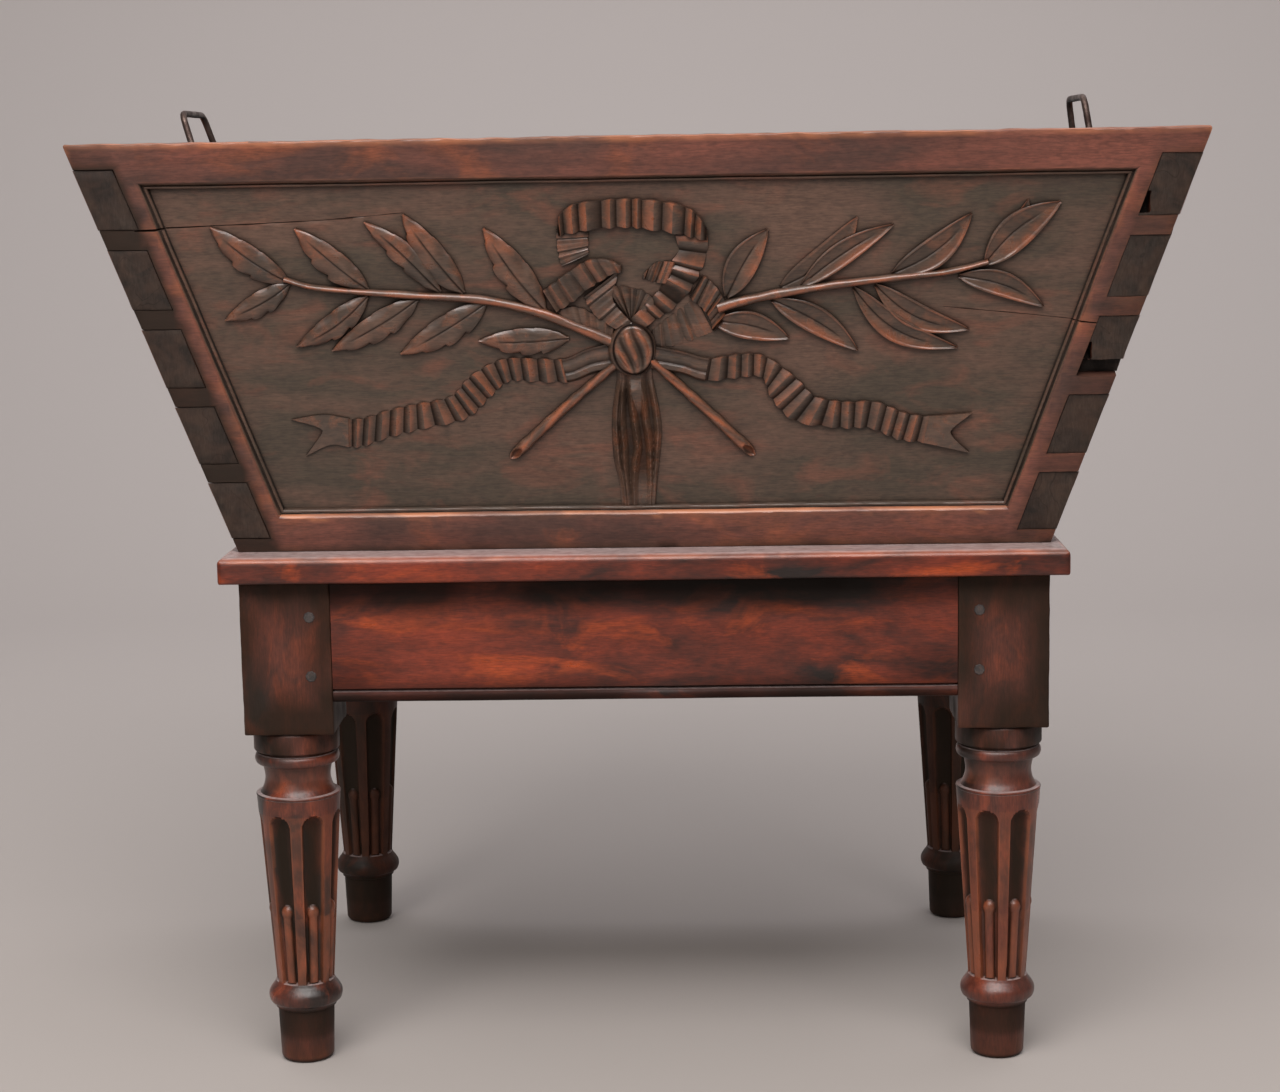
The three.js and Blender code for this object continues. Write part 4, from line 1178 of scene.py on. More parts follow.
    def dressed(self, name: str, shell: Shell, materials: list[Material], end_axis: int, node: str) -> None:
        """Makes a board, with end grain where it was sawn across.

        Args:
            name: the piece's name.
            shell: the board.
            materials: its own finish, the end grain and, on the front, the sunk ground's finish.
            end_axis: the axis that the end grain faces.
            node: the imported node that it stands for.
        """
        mesh = mesh_of(name, shell, crease=35.0)
        for material in materials:
            mesh.materials.append(material)
        for polygon in mesh.polygons:
            if abs(polygon.normal[end_axis]) > self.end_grain_facing:
                polygon.material_index = 1
            elif len(materials) > 2:
                x, v, height = self.face.on_face(np.array(polygon.center) / MM)
                beside = abs(x) - self.face.panel_half_width(v)
                # The panel's low lip keeps the border's lighter finish, as part of its painted highlight.
                on_low_lip = height > -4.6 and v < self.face.base_border + 2
                if -self.face.depth - 1 < height < -1.2 and beside < 0.5 and not on_low_lip:
                    polygon.material_index = 2
        place_piece(name, mesh, "trough", [node])

    def front(self, wear: Wear) -> Shell:
        """Cuts, wears and soils the carved front board, and paints a highlight along the panel's low lip.

        Args:
            wear: how far use has worn it.

        Returns:
            The board, with the old wax of its dovetailed ends.
        """
        face, trough = self.face, self.face.trough
        cracks = [
            self.crack(shares, width, depth)
            for shares, width, depth in zip(self.crack_shares, (2.4, 1.4), (14, 13))
        ]
        board = wear.applied(cut(node_bmesh("back_board", mirror_y=True), [self.panel_cutter(), *cracks]))
        x, v, height = face.on_face(board.points).T
        # The panel's low lip is lightened with a painted highlight.
        lit_low_lip = (np.abs(v - face.base_border) < 2.4) & (np.abs(x) < face.panel_half_width(face.base_border))
        board.rub = np.maximum(board.rub, 0.75 * (lit_low_lip & (height < -0.5) & (height > -4.2)))
        x, _, z = board.points.T
        beyond = clipped((np.abs(x) - trough.half_width(z) + trough.end_run + 9) / 8)
        grime = np.where(x < 0, 1.0, 0.5) * beyond * clipped((trough.rim_height - 12 - z) / 12, 0.3)
        board.sunk = clipped(grime * (0.96 + 0.2 * HAND_WORK.at(board.points)[:, 0]), 0, 0.96)
        return board

    def build(self) -> None:
        """Builds the four boards and gives the planks and battens inside their finish."""
        own = self.finishes
        wear = Wear(
            rim_arris=self.rim_arris, rim_height=self.face.trough.rim_height - 1, cell=9.0, cell_axes=(0, 2)
        )
        materials = [own.border, own.end_grain, own.ground]
        self.dressed("carved_front_board", self.stepped(self.front(wear), 0, 3), materials, 0, "front_board")
        back = self.stepped(wear.applied(node_bmesh("back_board")), 0, 5)
        self.dressed("plain_back_board", back, materials[:2], 0, "back_board")
        end_wear = replace(wear, cell=14.0, cell_axes=(1, 2))
        for side in Side:
            node = f"{side.name.lower()}_end_board"
            board = self.stepped(end_wear.applied(cut(node_bmesh(node), self.chips(side))), 1, 7 + side.value)
            name = f"{side.name.lower()}_dovetailed_end_board"
            self.dressed(name, board, [own.end_board, own.end_grain], 1, node)
        for node in ("front_floor_plank", "back_floor_plank", "left_floor_batten", "right_floor_batten"):
            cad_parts[node].data.materials.clear()
            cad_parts[node].data.materials.append(own.inside)


# The carving


@dataclass(frozen=True)
class Leaf:
    """One laurel leaf: its base, tip, width and bow as shares of the panel, and how high it lies."""

    base: Share
    tip: Share
    width: float
    bow: float
    level: float = 1.0


@dataclass(frozen=True)
class Ribbon:
    """A length of pleated ribbon, given by lines across it: the upper end's two shares and the lower end's.

    The rise at its two ends and the depth of its pleats are millimetres above the sunk ground.
    """

    line_shares: tuple[tuple[float, float, float, float], ...]
    pleats: float
    rise: Share
    pleat_depth: float = 2.8
    # lit and dark are the shares of painted highlight and painted shade on the pleats.
    lit: float = 0.42
    dark: float = 0.85
    spread: float = 1.0
    plain_start: float = 0.0
    plain_end: float = 0.0
    fork: float = 0.0


LEFT_LEAF_SHARES = (
    Leaf((-0.713, 0.706), (-0.863, 0.87), 0.078, 0.05),
    Leaf((-0.71, 0.7), (-0.846, 0.596), 0.066, 0.04),
    Leaf((-0.55, 0.68), (-0.692, 0.862), 0.078, 0.03),
    Leaf((-0.402, 0.67), (-0.55, 0.878), 0.066, -0.03),
    Leaf((-0.355, 0.666), (-0.471, 0.899), 0.081, 0.03),
    Leaf((-0.19, 0.61), (-0.309, 0.855), 0.087, 0.02),
    Leaf((-0.551, 0.66), (-0.702, 0.514), 0.069, 0.05),
    Leaf((-0.449, 0.65), (-0.63, 0.5), 0.075, 0.03),
    Leaf((-0.309, 0.635), (-0.489, 0.488), 0.081, 0.03),
    Leaf((-0.143, 0.526), (-0.327, 0.524), 0.075, 0.02),
)
RIGHT_LEAF_SHARES = (
    Leaf((0.181, 0.643), (0.265, 0.839), 0.081, 0.05),
    Leaf((0.292, 0.67), (0.446, 0.87), 0.081, -0.1, 0.5),
    Leaf((0.333, 0.672), (0.518, 0.848), 0.063, 0.04),
    Leaf((0.518, 0.703), (0.675, 0.876), 0.078, -0.08),
    Leaf((0.702, 0.735), (0.788, 0.913), 0.063, -0.14, 0.5),
    Leaf((0.704, 0.728), (0.852, 0.906), 0.09, 0.06),
    Leaf((0.156, 0.57), (0.308, 0.519), 0.075, 0.06),
    Leaf((0.274, 0.632), (0.448, 0.481), 0.072, 0.05),
    Leaf((0.439, 0.665), (0.651, 0.485), 0.069, -0.12),
    Leaf((0.483, 0.672), (0.674, 0.538), 0.069, -0.1),
    Leaf((0.652, 0.695), (0.824, 0.603), 0.066, 0.08),
)
# Stems and the cut stem ends: their middle lines, thickness at both ends, and the length of the slanting cut.
LEFT_STEM_SHARES = (
    (-0.03, 0.5), (-0.126, 0.561), (-0.204, 0.607), (-0.319, 0.646), (-0.467, 0.663), (-0.647, 0.687),
    (-0.72, 0.715),
)
RIGHT_STEM_SHARES = (
    (0.163, 0.611), (0.2, 0.626), (0.282, 0.65), (0.407, 0.676), (0.55, 0.697), (0.632, 0.709), (0.71, 0.735),
)
CUT_STEM_SHARES = (
    ((-0.02, 0.48), (-0.14, 0.338), (-0.272, 0.165)),
    ((0.01, 0.48), (0.126, 0.323), (0.237, 0.165)),
)
# The ribbon: folds beside the knot, the two loops from back to front, and the two trailing ends.
RIBBON_SHARES = (
    Ribbon((
        (-0.163, 0.609, -0.152, 0.565), (-0.133, 0.621, -0.121, 0.546), (-0.102, 0.609, -0.096, 0.53),
        (-0.05, 0.56, -0.055, 0.515),
    ), 3.0, (3.0, 3.6), pleat_depth=1.2, lit=0.1, dark=0.35),
    Ribbon((
        (0.118, 0.64, 0.153, 0.54), (0.097, 0.62, 0.125, 0.524), (0.071, 0.595, 0.088, 0.505),
        (0.03, 0.55, 0.025, 0.488),
    ), 4.0, (3.4, 4.6), pleat_depth=1.6, lit=0.15, dark=0.4),
    Ribbon((
        (-0.07, 0.69, -0.016, 0.575), (-0.04, 0.68, -0.015, 0.573), (-0.01, 0.676, -0.014, 0.572),
        (0.018, 0.66, -0.013, 0.571), (0.04, 0.625, -0.012, 0.57),
    ), 4.0, (3.0, 3.0), pleat_depth=1.8, lit=0.1, dark=0.6),
    Ribbon((
        (-0.036, 0.726, -0.11, 0.648), (-0.05, 0.648, -0.092, 0.6), (-0.036, 0.61, -0.066, 0.572),
        (-0.012, 0.572, -0.038, 0.548),
    ), 3.0, (3.6, 5.6), pleat_depth=1.7, lit=0.2, dark=0.6),
    Ribbon((
        (0.132, 0.709, 0.105, 0.646), (0.152, 0.69, 0.126, 0.616), (0.17, 0.652, 0.141, 0.595),
        (0.18, 0.618, 0.148, 0.566), (0.174, 0.575, 0.153, 0.542),
    ), 4.0, (5.4, 5.2), dark=0.6),
    Ribbon((
        (0.078, 0.748, 0.06, 0.685), (0.047, 0.75, 0.031, 0.691), (0.03, 0.738, 0.02, 0.699),
        (0.014, 0.715, 0.01, 0.7),
    ), 2.6, (5.6, 5.0), pleat_depth=1.8),
    Ribbon((
        (0.079, 0.825, 0.144, 0.825), (0.084, 0.783, 0.143, 0.77), (0.07, 0.748, 0.131, 0.724),
        (0.06, 0.707, 0.11, 0.668), (0.036, 0.655, 0.072, 0.61), (0.006, 0.612, 0.032, 0.575),
        (-0.02, 0.578, 0.002, 0.545),
    ), 7.0, (5.0, 6.6), pleat_depth=2.4),
    Ribbon((
        (-0.163, 0.845, -0.096, 0.845), (-0.162, 0.82, -0.097, 0.824), (-0.161, 0.799, -0.097, 0.809),
        (-0.159, 0.772, -0.098, 0.792), (-0.153, 0.741, -0.097, 0.776),
    ), 3.0, (4.4, 5.2), pleat_depth=0.8, lit=0.2, dark=0.7),
    Ribbon((
        (-0.192, 0.672, -0.165, 0.607), (-0.161, 0.703, -0.131, 0.638), (-0.141, 0.725, -0.11, 0.662),
        (-0.102, 0.757, -0.076, 0.696), (-0.066, 0.762, -0.048, 0.716), (-0.032, 0.742, -0.03, 0.724),
    ), 5.0, (7.4, 7.8), dark=0.6),
    Ribbon((
        (-0.159, 0.857, -0.157, 0.829), (-0.152, 0.895, -0.149, 0.833), (-0.126, 0.921, -0.123, 0.839),
        (-0.091, 0.929, -0.09, 0.847), (-0.052, 0.934, -0.052, 0.851), (-0.012, 0.935, -0.013, 0.852),
        (0.026, 0.931, 0.024, 0.845), (0.062, 0.924, 0.059, 0.838), (0.096, 0.912, 0.092, 0.827),
        (0.122, 0.889, 0.118, 0.818), (0.143, 0.845, 0.143, 0.81),
    ), 10.0, (7.6, 7.6), pleat_depth=3.6, lit=0.6),
    Ribbon((
        (-0.04, 0.51, -0.03, 0.44), (-0.104, 0.488, -0.092, 0.427), (-0.152, 0.46, -0.142, 0.402),
        (-0.211, 0.463, -0.208, 0.403), (-0.28, 0.462, -0.27, 0.405), (-0.344, 0.414, -0.312, 0.358),
        (-0.388, 0.352, -0.364, 0.294), (-0.459, 0.331, -0.458, 0.264), (-0.52, 0.312, -0.525, 0.24),
        (-0.585, 0.286, -0.59, 0.212), (-0.654, 0.3, -0.645, 0.222), (-0.722, 0.285, -0.7, 0.19),
    ), 25.0, (5.4, 5.2), pleat_depth=2.4, spread=1.2, plain_start=0.17, plain_end=0.15, fork=0.075),
    Ribbon((
        (0.02, 0.5, 0.02, 0.44), (0.091, 0.477, 0.087, 0.423), (0.142, 0.457, 0.134, 0.4),
        (0.2, 0.467, 0.198, 0.408), (0.257, 0.462, 0.252, 0.408), (0.318, 0.396, 0.276, 0.342),
        (0.358, 0.339, 0.324, 0.275), (0.417, 0.32, 0.415, 0.253), (0.486, 0.318, 0.476, 0.251),
        (0.546, 0.283, 0.533, 0.216), (0.6, 0.273, 0.59, 0.203), (0.684, 0.278, 0.68, 0.176),
    ), 23.0, (5.4, 5.2), pleat_depth=2.4, spread=1.2, plain_start=0.17, plain_end=0.13, fork=0.06),
)
# The reeded bundle: its height, left edge and right edge, and across it the places of its crests.
BUNDLE_EDGE_SHARES = (
    (0.45, -0.05, 0.03), (0.409, -0.046, 0.027), (0.315, -0.056, 0.039), (0.245, -0.059, 0.044),
    (0.157, -0.056, 0.038), (0.087, -0.046, 0.032), (0.015, -0.042, 0.028),
)
CREST_LEVEL_SHARES = (0.12, 0.42, 0.6, 0.86)
CREST_SHARES = (
    (-0.8, -0.82, -0.79, -0.78), (-0.64, -0.6, -0.52, -0.62), (-0.27, -0.06, 0.06, -0.24),
    (0.35, 0.39, 0.58, 0.72), (0.92, 0.86, 0.87, 0.92),
)


@dataclass(frozen=True)
class Carving:
    """Two laurel branches tied with a pleated ribbon, carved in relief. Lengths are in millimetres."""

    face: CarvedFace
    finishes: Finishes
    root: float = 1.2
    undercut: float = 0.5
    leaf_rise: float = 5.8
    stem_rise: float = 6.6
    stem_half: float = 4.9
    bundle_rise: float = 8.2
    knot_rise: float = 10.4
    knot_half_width: float = 22.3
    knot_half_height: float = 25.4

    @property
    def ground(self) -> float:
        """The height of the sunk ground, measured from the face."""
        return -self.face.depth

    def leaf(self, leaf: Leaf, cut_kind: LeafCut, seed: int) -> Shell:
        """Carves one leaf.

        Args:
            leaf: its place and size.
            cut_kind: how it was carved.
            seed: the fixed seed of its waves.

        Returns:
            The leaf, in places on the face.
        """
        start, end = np.array(self.face.at(leaf.base)), np.array(self.face.at(leaf.tip))
        length = np.linalg.norm(end - start)
        u, s = np.linspace(0, 1, 56)[:, None], np.linspace(-1, 1, 29)[None, :]
        outward = np.abs(s)
        along = (end - start) / length
        across = np.array([-along[1], along[0]])
        upper = s if across[1] > 0 else -s
        phase = np.random.default_rng(seed).uniform(0, TURN, 4)
        swell = np.maximum(np.sin(math.pi * clipped(u, 0.02, 0.985) ** 0.86) ** 0.78, 0.05)
        half = 1.1 * leaf.width * self.face.panel_height / 2 * swell
        envelope = clipped(0.5 + 2.4 * u) * (1 - 0.3 * u**3)
        vein = np.exp(-(((s - 0.08 * np.sin(2 * u + phase[1])) * half / 0.95) ** 2)) * clipped(5 * (0.86 - u))
        if cut_kind is LeafCut.WAVY:
            tooth = np.mod(4.2 * u + 0.3 * (s > 0) + phase[0], 1)
            notch = clipped(1 - tooth / 0.75) ** 1.5 * clipped(6 * (u - 0.12))
            half = half * (1 - (0.15 - 0.09 * upper) * notch * outward**3)
            crown = 0.68 + 0.32 * np.cos(0.5 * math.pi * outward**2.2)
            fold = 0.5 + 0.5 * np.sin(TURN * (2.6 * u - 0.3 * outward) + phase[2] + np.pi * (s > 0))
            height = self.leaf_rise * envelope * (crown - 0.24 * fold * outward)
            rub = clipped(1.9 * u - 0.75) * (1 - 0.6 * fold * outward) * clipped(0.8 - 0.2 * upper, 0.1)
            # A painted highlight runs along the leaf's upper edge.
            rub = np.maximum(rub, 0.3 * clipped(8 * (upper - 0.82)) * clipped(2 * u))
            rub = rub * (0.85 if along[1] > 0 else 0.3)
            darkening = 0.3 * fold * outward
        else:
            margin = np.exp(-(((outward - 0.88) * half / 0.9) ** 2))
            height = leaf.level * self.leaf_rise * envelope * (0.55 + 0.18 * s**2 + 0.17 * margin)
            low_lobe = clipped(-1.6 * upper - 0.3) * clipped(1.5 * np.sin(math.pi * u**1.3) - 0.3)
            toward_tip = clipped(2.4 * u - 1.2)
            # The low lobe is rubbed, and the upper margin gets a painted highlight toward the tip.
            rub = clipped(0.55 * low_lobe + margin * (0.12 + 0.4 * toward_tip * (upper > 0)))
            darkening = 0.25 * (1 - margin) * (upper > 0)
        side = leaf.bow * length * np.sin(math.pi * u) + s * half
        x, v = (start[i] + along[i] * length * u + across[i] * side for i in (0, 1))
        top = np.stack([x, v, self.ground + np.maximum(height - 0.8 * vein, 0.7)], axis=2)
        # The midrib groove is darkened with painted shade.
        return self.rooted(top, rub * (1 - 0.8 * vein), np.maximum(0.85 * vein, darkening))

    def rooted(self, top: Array, rub: Array, sunk: Array) -> Shell:
        """Closes a carved top surface with walls that run into the ground.

        Args:
            top: the surface as an array of stations, points and coordinates.
            rub: the wear and painted highlight of each point.
            sunk: the dirt and painted shade of each point.

        Returns:
            The closed shell.
        """
        left, right = top[:, :1].copy(), top[:, -1:].copy()
        toward = right - left
        toward *= self.undercut / np.maximum(np.linalg.norm(toward, axis=2, keepdims=True), 1e-6)
        walls = np.concatenate([right - toward, left + toward], axis=1)
        walls[:, :, 2] = self.ground - self.root
        shell = loft(np.concatenate([top, walls], axis=1))
        # The walls that run into the ground are darkened with painted shade.
        shell.rub, shell.sunk = (
            np.concatenate([values, np.full((len(top), 2), wall)], axis=1).reshape(-1)
            for values, wall in ((rub, 0.0), (sunk, 0.9))
        )
        return shell

    def rod(self, path_shares: tuple[Share, ...], thickness: Share, cut_length: float = 0.0) -> Shell:
        """Carves a stem: a half-round rod along the ground.

        Args:
            path_shares: its middle line.
            thickness: its thickness at the two ends, as a share of the stem's.
            cut_length: the length of the slanting cut at its last end, or zero where it ends in a leaf.

        Returns:
            The stem, in places on the face.
        """
        steps = 110
        line = smooth_path([self.face.at(share) for share in path_shares], steps)
        run, s = np.linspace(0, 1, steps + 1)[:, None], np.linspace(-1, 1, 13)[None, :]
        half = self.stem_half * (thickness[0] + (thickness[1] - thickness[0]) * run)
        half = half * (1 + 0.05 * np.sin(run * 31) + 0.04 * np.sin(run * 57 + 2))
        height = self.stem_rise * (0.22 + 0.78 * np.sqrt(clipped(1 - 0.98 * s**2))) + 0 * run
        rub = clipped(1.9 * (height / self.stem_rise) - 1.0) * (0.6 + 0.4 * np.sin(run * 23 + 4 * s))
        sunk = 0 * height
        if cut_length:
            left = clipped((1 - run) * length_along(line)[-1] / cut_length)
            half = half * np.sqrt(clipped(left / 0.45, 0.02))
            hollow = clipped(1 - ((left - 0.5) / 0.42) ** 2 - (s / 0.78) ** 2)
            slant = 0.9 + (self.stem_rise - 0.3) * left - 2.4 * hollow**0.5
            # The hollow of the cut is darkened with painted shade.
            sunk = 0.62 * clipped(2.5 * hollow)
            height = np.maximum(np.minimum(height, slant), 0.3)
        path = np.concatenate([line, np.zeros((steps + 1, 1))], axis=1)
        section = np.stack([half * s, self.ground + height], axis=2)
        return self.rooted(along_path(path, UP, section), rub, sunk)

    def reeds(self) -> Shell:
        """Carves the bundle below the knot: long reeds that swell and draw in.

        Returns:
            The bundle, in places on the face.
        """
        edges = [(*self.face.at((low, v)), self.face.at((high, v))[0]) for v, low, high in BUNDLE_EDGE_SHARES]
        low, level, high = smooth_path(edges, 110).T[:, :, None]
        u, s = np.linspace(0, 1, 111)[:, None], np.linspace(-1, 1, 81)[None, :]
        middle, half = (low + high) / 2, (high - low) / 2
        crests = [np.interp(u, CREST_LEVEL_SHARES, shares) for shares in CREST_SHARES]
        ridge = np.max([clipped(1 - np.abs(s - crest) * half / 4.6) ** 1.2 for crest in crests], axis=0)
        flat = clipped(6 * (0.36 - u)) * (s > crests[2]) * (s < crests[3])
        ridge = np.maximum(ridge, 0.85 * flat) * clipped(9 * (u - 0.07), 0.35)
        crown = np.sqrt(clipped(1 - (0.9 * s) ** 2)) * (1 - 0.6 * clipped(u - 0.55) ** 1.5 / 0.3)
        height = self.bundle_rise * crown * (0.14 + 0.86 * ridge)
        top = np.stack([middle + s * half, level + 0 * s, self.ground + np.maximum(height, 0.5)], axis=2)
        fade = clipped(5 * (0.93 - u))
        # A faint painted highlight on the crests, and painted shade in the grooves between them.
        return self.rooted(top, 0.06 * ridge**3 * fade, clipped(0.68 - 1.5 * ridge) * fade)

    def knot(self) -> Shell:
        """Carves the knot: a thick raised ring round twisted folds.

        Returns:
            The knot, in places on the face.
        """
        centre, count = self.face.at((-0.013, 0.492)), 120
        r = np.linspace(0.01, 1.0, 56)[:, None]
        x, v = r * circle(1.0, count).T[:, None, :]
        bud_x, bud_v = (x - 0.06) / 0.8, (v - 0.03) / 0.9
        inside = np.hypot(bud_x, bud_v)
        meridian = bud_x / np.sqrt(clipped(1.1 - bud_v**2, 0.06, 2)) + 0.5 * bud_v * (1 - 0.5 * bud_x)
        crest = 0.5 + 0.5 * np.cos(TURN * (meridian * 1.35 + 0.08))
        bud = np.sqrt(clipped(1 - inside**4))
        valley = np.exp(-(((inside - 1.03) / 0.06) ** 2))
        ring = np.sqrt(clipped(1 - ((r - 0.8) / 0.22) ** 2))
        height = self.knot_rise * np.maximum(0.8 * np.maximum(ring, r < 0.8), bud * (0.7 + 0.34 * crest**0.7))
        height -= 1.2 * valley * (r < 0.93)
        top = np.stack([
            centre[0] + self.knot_half_width * x, centre[1] + self.knot_half_height * v, self.ground + height,
        ], axis=2)
        low = top[-1:].copy()
        low[:, :, 2] = self.ground - self.root
        # Painted highlight on the bud's crests, and painted shade in its furrows, in the valley round it and
        # at its foot.
        rub = clipped(bud * (1.4 * crest - 0.7)) * (inside < 1)
        darkening = clipped(0.9 * valley + bud * (0.8 - 2 * crest) + 0.25 * (inside > 1), 0, 0.95)
        shell = loft(np.concatenate([top, low]))
        shell.rub = np.append(rub, np.zeros(count))
        shell.sunk = np.append(darkening, np.full(count, 0.9))
        return shell

    def ribbon_tree(self) -> ShapeTree:
        """Builds the tree that pleats a ribbon between its two edges.

        Returns:
            The tree. Its source is the points of the ribbon's upper edge and then those of its lower edge.
        """
        shape = ShapeTree(
            "pleated_ribbon", "Pleats, Rise start, Rise end, Pleat depth, Lit, Dark, Plain start, Plain end, "
            "Fork, Root, Ground, Phase, Edge points", ("Stations",),
        )
        add, entry = shape.add, shape.entry
        grid = add("GeometryNodeMeshGrid", {
            "Size X": 1.0, "Size Y": 2.0, "Vertices X": entry["Stations"], "Vertices Y": 11,
        })
        spot = add("GeometryNodeInputPosition")
        place = add("ShaderNodeSeparateXYZ", (spot,))
        marked = shape.stored(grid, run=place["X"] + 0.5, side=place["Y"])
        run, side = (
            add("GeometryNodeInputNamedAttribute", {"Name": name}, data_type="FLOAT")
            for name in ("run", "side")
        )

        # The pleats: each lap rises and falls once, with hand-carved unevenness, between two plain ends.
        sway = (run * 14.3 + entry["Phase"]).into(MATH, operation="SINE") * 0.24
        jog = (run * 37.0 + entry["Phase"]).into(MATH, operation="SINE") * 0.1
        lap = (run * entry["Pleats"] + sway + jog).into(MATH, operation="FRACT")
        plain = (run > entry["Plain start"]).least(run < 1.0 - entry["Plain end"])
        zigzag = (lap / 0.52).least((1.0 - lap) / 0.48) * plain + (1.0 - plain) * 0.75

        # The flat ribbon: each station lies between two points of each edge, and a forked end is set back.
        back = (1.0 - abs(side) ** 1.5) * run.into(RANGE, 0.88, 1.0) * entry["Fork"]
        station = (run - back) * (entry["Edge points"] - 1.001)
        before, ends = station.into(MATH, operation="FLOOR"), []
        for first in (0.0, entry["Edge points"]):
            near, far = (
                add("GeometryNodeSampleIndex", {
                    "Geometry": entry["Geometry"], "Value": spot, "Index": before + step + first,
                }, data_type="FLOAT_VECTOR", domain="POINT", clamp=True)
                for step in (0.0, 1.0)
            )
            between = {0: station.into(MATH, operation="FRACT"), 4: near, 5: far}
            ends.append(add("ShaderNodeMix", between, 1, data_type="VECTOR"))
        scallop = (zigzag - 0.6) * 0.055 * plain
        flat = add("ShaderNodeMix", {
            0: side * (scallop + 0.49) + 0.5, 4: ends[1], 5: ends[0],
        }, 1, data_type="VECTOR")
        low = add("ShaderNodeCombineXYZ", {2: entry["Ground"] - entry["Root"]})
        laid = add("GeometryNodeSetPosition", {"Geometry": marked, "Position": flat, "Offset": low})

        # The relief: the sheet is extruded, and its top is lifted to the pleats.
        raised = add("GeometryNodeExtrudeMesh", {
            "Mesh": laid, "Offset": tuple(UP), "Offset Scale": 1 * MM, "Individual": False,
        }, mode="FACES")
        at_start = (1.0 - plain) * (run < entry["Plain start"])
        crease = ((side * 7.2 + 1.1).into(MATH, operation="COSINE") * 0.5 + 0.5) ** 3.0 * at_start
        dip = crease * (1.4 * MM) + (1.0 - zigzag) * entry["Pleat depth"]
        rise = run.into(RANGE, 0.0, 1.0, entry["Rise start"], entry["Rise end"])
        height = (rise - dip - abs(side) ** 3.0 * (0.8 * MM)).most(0.8 * MM)
        lift = add("ShaderNodeCombineXYZ", {2: height + (entry["Root"] - 1 * MM)})
        top = add("GeometryNodeSetPosition", {"Geometry": raised, "Selection": raised["Top"], "Offset": lift})

        # Painted highlight on the rising side of each pleat and along its outer edge, and painted shade on its
        # falling side and in the crease at its start.
        rising = lap < 0.52
        highlit_edge = (side * zigzag).into(RANGE, 0.72, 0.95)
        lit = (rising * zigzag.into(RANGE, 0.1, 0.8)).most(highlit_edge) * entry["Lit"] * plain
        dark = ((1.0 - rising) * 0.7 + 0.3) * zigzag.into(RANGE, 0.95, 0.15) * entry["Dark"] * plain
        top = shape.stored(top, rub=lit, sunk=dark + crease * 0.75)
        bottom = add("GeometryNodeFlipFaces", (laid,))
        both = add("GeometryNodeJoinGeometry", ([top, bottom],))
        shape.end_with(add("GeometryNodeMergeByDistance", {"Geometry": both, "Distance": 0.01 * MM}))
        return shape

    def pleated(self, shape: ShapeTree, ribbon: Ribbon, phase: float) -> Mesh:
        """Runs the ribbon tree on one length.

        Args:
            shape: the tree.
            ribbon: the length of ribbon.
            phase: where its uneven pleats start.

        Returns:
            The ribbon's mesh on the face, in metres.
        """
        count = 8 * len(ribbon.line_shares)
        lines = np.array([[self.face.at(line[:2]), self.face.at(line[2:])] for line in ribbon.line_shares])
        lines += (ribbon.spread - 1) * (lines - lines.mean(axis=1, keepdims=True))
        edges = smooth_path(lines.reshape(-1, 4).tolist(), count - 1)
        points = [(x * MM, v * MM, 0.0) for k in (0, 2) for x, v in edges[:, k : k + 2]]
        return shape.run(points, [], {
            "Pleats": ribbon.pleats, "Rise start": ribbon.rise[0] * MM, "Rise end": ribbon.rise[1] * MM,
            "Pleat depth": ribbon.pleat_depth * MM, "Lit": ribbon.lit, "Dark": ribbon.dark,
            "Plain start": ribbon.plain_start, "Plain end": ribbon.plain_end, "Fork": ribbon.fork,
            "Root": self.root * MM, "Ground": self.ground * MM, "Stations": int(ribbon.pleats * 20) + 1,
            "Phase": phase, "Edge points": float(count), "Finish": self.finishes.carved,
        })

    def ribbon(self) -> Mesh:
        """Carves all lengths of the ribbon.

        Returns:
            One mesh, in place, with its finish.
        """
        shape, whole = self.ribbon_tree(), bmesh.new()
        for i, ribbon in enumerate(RIBBON_SHARES):
            part = self.pleated(shape, ribbon, phase=1.3 * i)
            whole.from_mesh(part)
            bpy.data.meshes.remove(part)
        whole.transform(Matrix.Scale(MM, 4) @ self.face.matrix @ Matrix.Scale(1 / MM, 4))
        bmesh.ops.recalc_face_normals(whole, faces=whole.faces)
        mesh = bpy.data.meshes.new("pleated_ribbon")
        whole.to_mesh(mesh)
        whole.free()
        mesh.materials.clear()
        mesh.materials.append(self.finishes.carved)
        mesh.shade_smooth()
        mesh.set_sharp_from_angle(angle=math.radians(24))
        return mesh

    def build(self) -> None:
        """Builds the branches, the bundle, the knot and the ribbon."""
        left = [self.leaf(leaf, LeafCut.WAVY, 100 + i) for i, leaf in enumerate(LEFT_LEAF_SHARES)]
        right = [self.leaf(leaf, LeafCut.RIMMED, 200 + i) for i, leaf in enumerate(RIGHT_LEAF_SHARES)]
        for name, shells in (
            ("left_laurel_branch", [*left, self.rod(LEFT_STEM_SHARES, (1.1, 0.5))]),
            ("right_laurel_branch", [*right, self.rod(RIGHT_STEM_SHARES, (1.0, 0.55))]),
            ("cut_stem_ends", [self.rod(shares, (0.8, 1.1), cut_length=17.0) for shares in CUT_STEM_SHARES]),
            ("reeded_bundle", [self.reeds()]),
            ("ribbon_knot", [self.knot()]),
        ):
            shell = self.face.placed(Shell.joined(shells))
            shell_piece(name, shell, self.finishes.carved, "trough", ["front_board"], 50.0)
        place_piece("pleated_ribbon", self.ribbon(), "trough", ["front_board"])


# The stand


def between(start: Share, end: Share, shares: Array) -> list[Share]:
    """Points on a straight line, at shares of its length."""
    return [(start[0] + (end[0] - start[0]) * t, start[1] + (end[1] - start[1]) * t) for t in shares]


